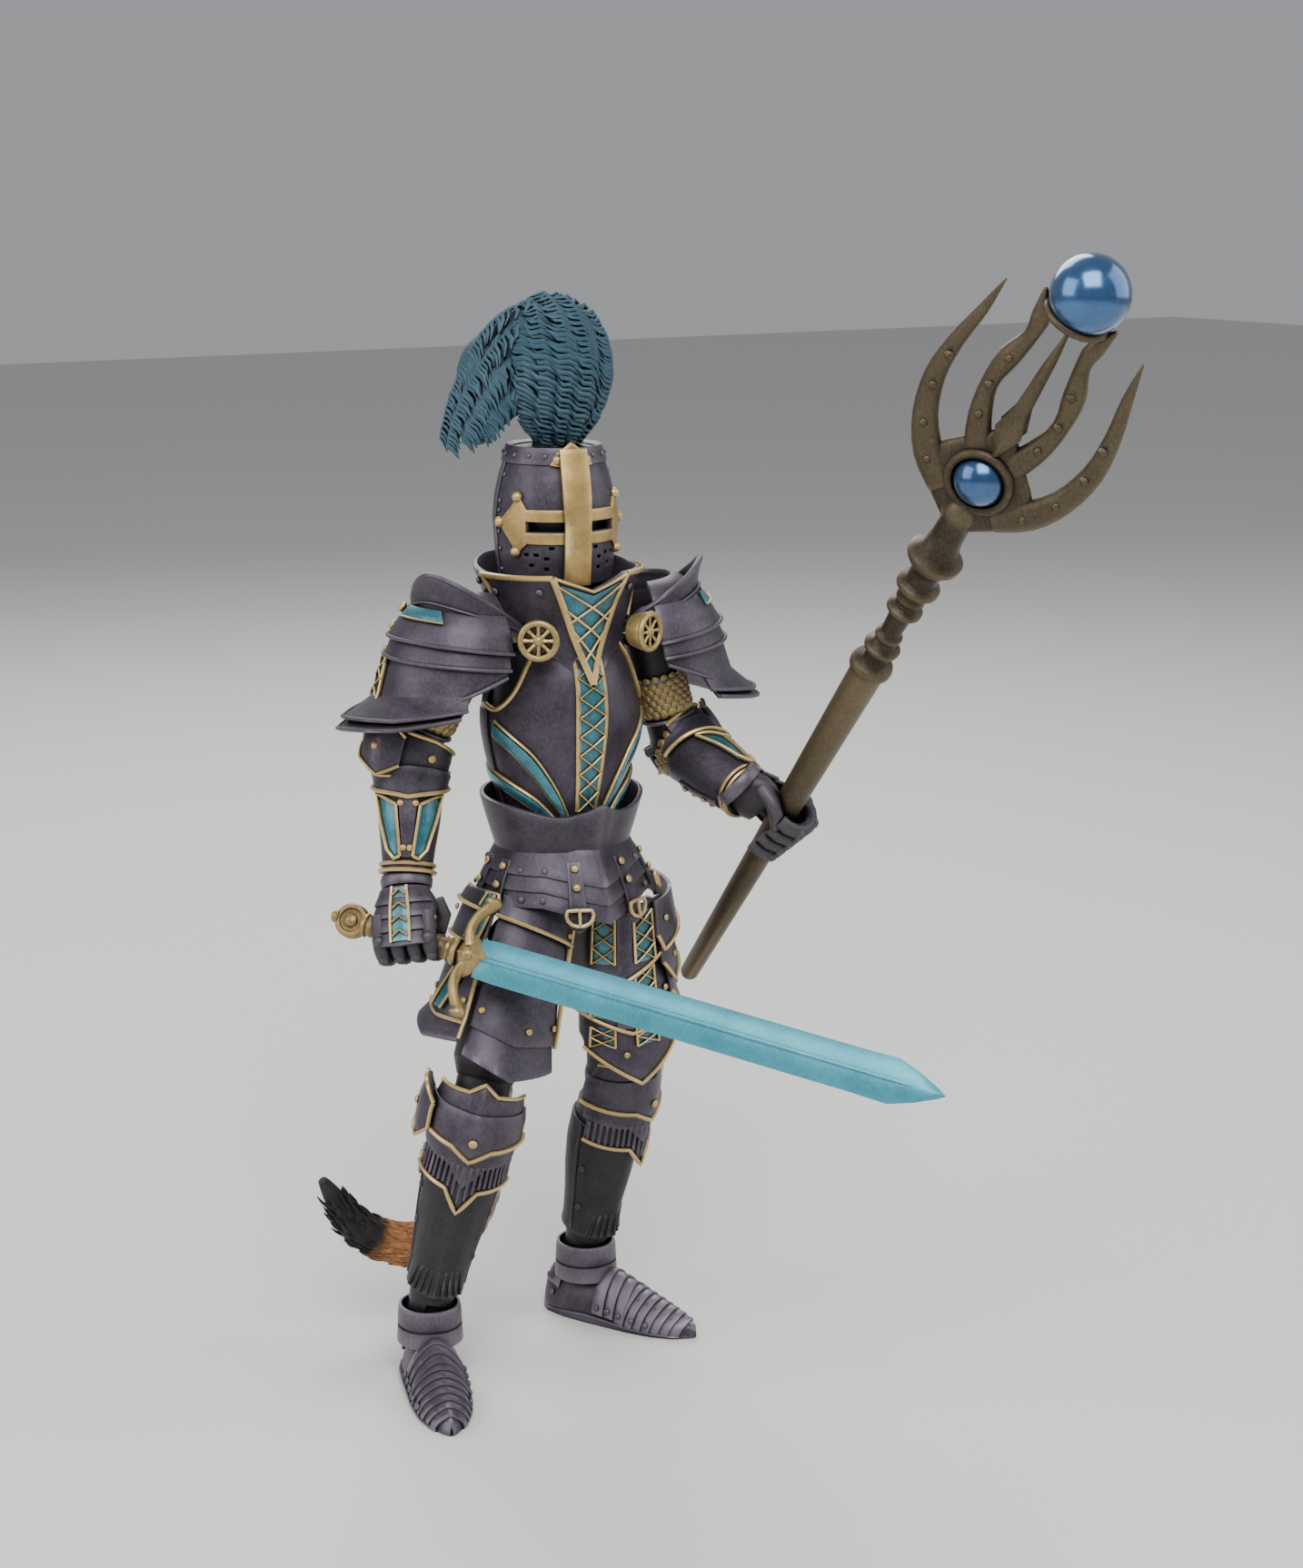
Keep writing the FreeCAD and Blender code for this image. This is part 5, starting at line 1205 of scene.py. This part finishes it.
def arm_pieces():
    """The mail, the winged elbow plates and the forearm guards."""
    for s, letter in SIDES.items():
        reach = (ELBOW[s] - SHOULDER[s]).length
        arm = Form([(-6, 4.5, 4.5), (-reach + 5, 4.5, 4.5), (-reach + 2, 4.3, 4.3)], s)
        mail, gold, dark = (bmesh.new() for _ in range(3))
        scales(mail, arm, -reach + 6.4, -8.0, (0, 360, 18), 0.9)
        for level in (-reach + 5.0, -9.0):
            trim(dark, arm, [(-180, level, 0.2), (180, level, 0.2)], 0.8, 0.8, 40)
        finished("arm_mail_" + letter, mail, UPPER_ARM[s], "upper_arm_" + letter, "mail")
        finished("arm_bands_" + letter, dark, UPPER_ARM[s], "upper_arm_" + letter, "armour")

        joint = bone(ELBOW[s], (UPPER_WAY[s] + FORE_WAY[s]), ELBOW_AXIS[s])
        cup = Form([(-4.5, 6.4, 6.4), (-2, 6.9, 6.9), (0, 7.0, 7.0), (2, 6.9, 6.9), (4.5, 6.3, 6.3)], s,
                   0.5, 22, 90)
        dark = bmesh.new()
        low = [(-30, -1.6), (20, -3.0), (60, -4.0), (90, -4.8), (130, -3.8), (200, -2.6)]
        high = [(-30, 1.6), (20, 3.0), (60, 3.4), (90, 4.4), (130, 3.6), (200, 2.4)]
        panel(dark, cup, low, high, 0.8, (50, 8))
        for line in (low, high):
            trim(gold, cup, [(a, b, 0.15) for a, b in line], 0.75, 0.75, 44)
        wing = [(62, -2.4, 0.9), (84, -4.8, 2.2), (112, -2.6, 2.6), (126, 0.0, 1.6)]
        peak = [(62, 2.4, 0.9), (84, 4.6, 2.2), (112, 3.0, 2.6), (126, 0.4, 1.6)]
        panel(dark, cup, wing, peak, 0.7, (14, 8))
        for line in (wing, peak):
            trim(gold, cup, [(a, b, c + 0.1) for a, b, c in line], 0.6, 0.8, 14)
        studs(gold, cup, [(92, 0, 2.2), (20, 0, 0.1), (160, 0, 0.1)], 0.8)
        finished("couter_plates_" + letter, dark, joint, "elbow_" + letter, "armour", ["couter_" + letter],
                 0.07)
        finished("couter_trim_" + letter, gold, joint, "elbow_" + letter, "gold")

        end = (WRIST[s] - ELBOW[s]).length
        fore = Form([(-3.0, 6.3, 6.3), (-5, 5.7, 5.7), (-8, 5.5, 5.5), (-12, 5.3, 5.3), (-16, 4.7, 4.7),
                     (-end + 3.4, 4.3, 4.3), (-end + 2.0, 4.5, 4.5)], s)
        dark, gold, teal, mail = (bmesh.new() for _ in range(4))
        panel(dark, fore, [(-180, -end + 2.4), (180, -end + 2.4)], [(-180, -5.0), (180, -5.0)], 0.7,
              (56, 14))
        crescent = [(-70, -5.0, 0.8), (0, -7.2, 0.8), (54, -8.4, 0.9), (108, -7.2, 0.8), (178, -5.0, 0.8)]
        panel(dark, fore, crescent, [(-70, -4.0, 0.7), (54, -3.2, 1.0), (178, -4.0, 0.7)], 0.7, (44, 5))
        trim(gold, fore, [(a, b, c + 0.1) for a, b, c in crescent], 0.8, 0.8, 40)
        panel(dark, fore, [(46, -end + 4.4, 0.7), (62, -end + 4.4, 0.7)],
              [(38, -7.6, 0.8), (70, -7.6, 0.8)], 0.6, (8, 10))
        studs(gold, fore, [(42, -9.4, 0.8), (66, -9.4, 0.8), (48, -end + 6.0, 0.8), (60, -end + 6.0, 0.8)],
              0.6)
        for way in (-1, 1):
            def petal(turn, height, lift):
                return 54 + way * turn, height, lift
            leaf = [petal(20, -9.6, 0.3), petal(46, -8.2, 0.3), petal(66, -7.4, 0.3)]
            foot = [petal(12, -end + 4.6, 0.4), petal(24, -end + 4.2, 0.4), petal(40, -end + 5.8, 0.4)]
            panel(teal, fore, foot if way > 0 else foot[::-1], leaf if way > 0 else leaf[::-1], 0.5,
                  (10, 10))
            for line in (leaf, foot, [leaf[0], foot[0]], [leaf[2], foot[2]]):
                trim(gold, fore, line, 0.6, 0.7, 12, lift=0.3)
        for turn in (-150, -120):
            panel(dark, fore, [(turn - 10, -end + 5.0, 0.4), (turn + 10, -end + 5.0, 0.4)],
                  [(turn - 12, -8.0, 0.4), (turn + 12, -8.0, 0.4)], 0.5, (6, 8))
            studs(gold, fore, [(turn, -9.4, 0.6), (turn, -14.0, 0.6)], 0.55)
        for level in (-end + 3.6, -end + 2.4):
            trim(gold, fore, [(-180, level, 0.2), (180, level, 0.2)], 0.75, 0.9, 44)
        finished("vambrace_plates_" + letter, dark, FOREARM[s], "forearm_" + letter, "armour",
                 ["vambrace_" + letter], 0.07)
        finished("vambrace_trim_" + letter, gold, FOREARM[s], "forearm_" + letter, "gold")
        finished("vambrace_inlay_" + letter, teal, FOREARM[s], "forearm_" + letter, "inlay", (), 0.04)
        scales(mail, Form([(-4.5, 5.2, 5.2), (-1.5, 5.4, 5.4)], s), -4.6, -2.2, (0, 360, 18), 0.9)
        finished("forearm_mail_" + letter, mail, FOREARM[s], "forearm_" + letter, "mail")


def hand_pieces():
    """The closed gauntlets round the sword grip and the pole."""
    for s, letter in SIDES.items():
        back = -1 if s < 0 else 1
        body = "hand_" + letter
        gap = 1.9 if s < 0 else 2.5
        dark, plates, gold, teal = (bmesh.new() for _ in range(4))
        for i in range(4):
            x = -4.2 + 2.8 * i
            round_grip = gap + 1.35
            arc = [Vector((x, back * round_grip * math.cos(a), -round_grip * math.sin(a)))
                   for a in (math.radians(d) for d in range(-10, 215, 25))]
            arc.insert(0, Vector((x, back * (round_grip + 0.1), 3.6)))
            tube(dark, arc, [(1.36, 1.25)] * len(arc), [Vector((0, p.y, p.z)) for p in arc], 10)
            for d in (15, 70, 130):
                a = math.radians(d)
                ball(dark, Vector((x, back * (round_grip + 0.5) * math.cos(a),
                                   -(round_grip + 0.5) * math.sin(a))),
                     1.2, 8)
        palm = [(1.0, 4.6, 1.8), (2.6, 5.2, 2.6), (4.6, 5.0, 3.0), (6.4, 3.9, 2.9), (7.6, 3.0, 2.7)]
        low = gap + 1.0
        swept(dark, [shifted(0, back * 0.4, low + z - 1.0) @ Matrix.Diagonal((w, d, 1, 1)) for z, w,
                     d in palm], 20)
        thumb = [Vector((4.6, -back * 1.6, 6.4)), Vector((5.4, -back * 3.0, 4.0)),
                 Vector((4.4, -back * 3.9, 1.6)), Vector((2.4, -back * 4.3, 0.2))]
        tube(dark, thumb, [(1.5, 1.4), (1.5, 1.4), (1.3, 1.2), (0.8, 0.7)], Vector((1, 0, 0)), 10)
        cover = Form([(9.6, 4.0, 3.9), (7.4, 4.4, 4.3), (4.4, 5.5, 4.7), (1.6, 5.8, gap + 3.0),
                      (-2.4, 5.8, gap + 3.1)], 1)
        mid = 0 if back < 0 else 180
        for k in range(4):
            high = 8.2 - 2.4 * k
            lift = 0.1 + 0.12 * (3 - k)
            panel(plates, cover, [(mid - 62, high - 2.8, lift + 0.35), (mid, high - 3.4, lift + 0.45),
                                  (mid + 62, high - 2.8, lift + 0.35)],
                  [(mid - 62, high, lift), (mid + 62, high, lift)], 0.55, (20, 3))
        panel(teal, cover, [(mid - 12, -1.6, 0.75), (mid + 12, -1.6, 0.75)],
              [(mid - 14, 7.8, 0.75), (mid + 14, 7.8, 0.75)], 0.4, (4, 12))
        for turn in (-14, 14):
            trim(gold, cover, [(mid + turn, -1.8, 0.9), (mid + turn, 8.0, 0.9)], 0.55, 0.7, 12)
        for k in range(4):
            trim(gold, cover, [(mid - 12, 6.4 - 2.4 * k, 1.0), (mid, 7.4 - 2.4 * k, 1.0),
                               (mid + 12, 6.4 - 2.4 * k, 1.0)],
                 0.4, 0.6, 8)
        cuff = [(3.6, 8.4), (4.3, 8.6), (4.5, 10.0), (4.2, 10.8), (3.6, 10.6)]
        turned(plates, cuff, 28)
        finished("gauntlet_fingers_" + letter, dark, HAND[s], body, "dark_armour", ["hand_" + letter])
        finished("gauntlet_plates_" + letter, plates, HAND[s], body, "armour", (), 0.06)
        finished("gauntlet_trim_" + letter, gold, HAND[s], body, "gold")
        finished("gauntlet_inlay_" + letter, teal, HAND[s], body, "inlay")


def core_finishes():
    """The joint cores and hidden bodies keep their shapes and take the cast finishes."""
    kinds = {"dark_armour": ("greave", "thigh", "upper_arm", "forearm", "torso_core", "head_core"),
             "inner": ("pelvis_block", "elbow_disc", "shoulder_peg", "hip_peg", "ankle_peg"),
             "pin": ("waist_peg", "neck_peg", "elbow_pin", "knee_pin", "wrist_peg")}
    for piece in bpy.data.objects:
        for finish, names in kinds.items():
            if piece.type == "MESH" and (piece.name in names or piece.name[:-2] in names):
                for slot in piece.material_slots:
                    slot.material = FINISHES[finish][0]


# ---- camera and light ----------------------------------------------------------------------
CAMERA_FROM_WAIST = Vector((-238.7, -396.2, 113.0))
CAMERA_PITCH = math.radians(12.9)
CAMERA_HEADING = (0.545, 0.839)
CAMERA_LENS = 62.3
LAMPS = (("key", (-0.25, -0.45, 0.55), 0.5, 6.0), ("fill", (0.5, -0.35, 0.3), 0.6, 2.4),
         ("rim", (0.2, 0.5, 0.5), 0.5, 4.0), ("side", (-0.6, 0.1, 0.3), 0.5, 2.4))


def studio():
    """The camera, four soft lamps, a grey sky and a pale floor."""
    eye = WAIST + CAMERA_FROM_WAIST
    level = math.cos(CAMERA_PITCH)
    way = Vector((CAMERA_HEADING[0] * level, CAMERA_HEADING[1] * level, -math.sin(CAMERA_PITCH)))
    data = bpy.data.cameras.new("camera")
    data.lens = CAMERA_LENS
    data.sensor_width = 36.0
    data.clip_start = 0.01
    camera = bpy.data.objects.new("camera", data)
    camera.matrix_world = Matrix.Translation(eye * 0.001) @ way.to_track_quat("-Z",
                                                                              "Y").to_matrix().to_4x4()
    bpy.context.scene.collection.objects.link(camera)
    bpy.context.scene.camera = camera
    centre = WAIST * 0.001
    for name, place, size, power in LAMPS:
        lamp = bpy.data.lights.new(name, "AREA")
        lamp.energy = power
        lamp.size = size
        light = bpy.data.objects.new(name, lamp)
        light.location = centre + Vector(place)
        light.rotation_euler = (centre - light.location).to_track_quat("-Z", "Y").to_euler()
        bpy.context.scene.collection.objects.link(light)
    world = bpy.data.worlds.new("studio")
    bpy.context.scene.world = world
    world.use_nodes = True
    world.node_tree.nodes["Background"].inputs["Color"].default_value = (0.82, 0.84, 0.88, 1)
    world.node_tree.nodes["Background"].inputs["Strength"].default_value = 0.42
    bm = bmesh.new()
    bmesh.ops.create_grid(bm, x_segments=1, y_segments=1, size=2.5)
    mesh = bpy.data.meshes.new("floor")
    bm.to_mesh(mesh)
    bm.free()
    floor = bpy.data.objects.new("floor", mesh)
    floor.location = (0, 0, CAD_BOX[0][2])
    bpy.context.scene.collection.objects.link(floor)
    material = bpy.data.materials.new("floor_paper")
    material.use_nodes = True
    material.node_tree.nodes["Principled BSDF"].inputs["Base Color"].default_value = (0.66, 0.65, 0.63, 1)
    material.node_tree.nodes["Principled BSDF"].inputs["Roughness"].default_value = 0.85
    mesh.materials.append(material)


pelvis_pieces()
chest_pieces()
gorget_pieces()
helmet_pieces()
plume_piece()
tasset_pieces()
shin_pieces()
foot_pieces()
sword_pieces()
staff_pieces()
tail_piece()
pauldron_pieces()
arm_pieces()
hand_pieces()
core_finishes()
studio()
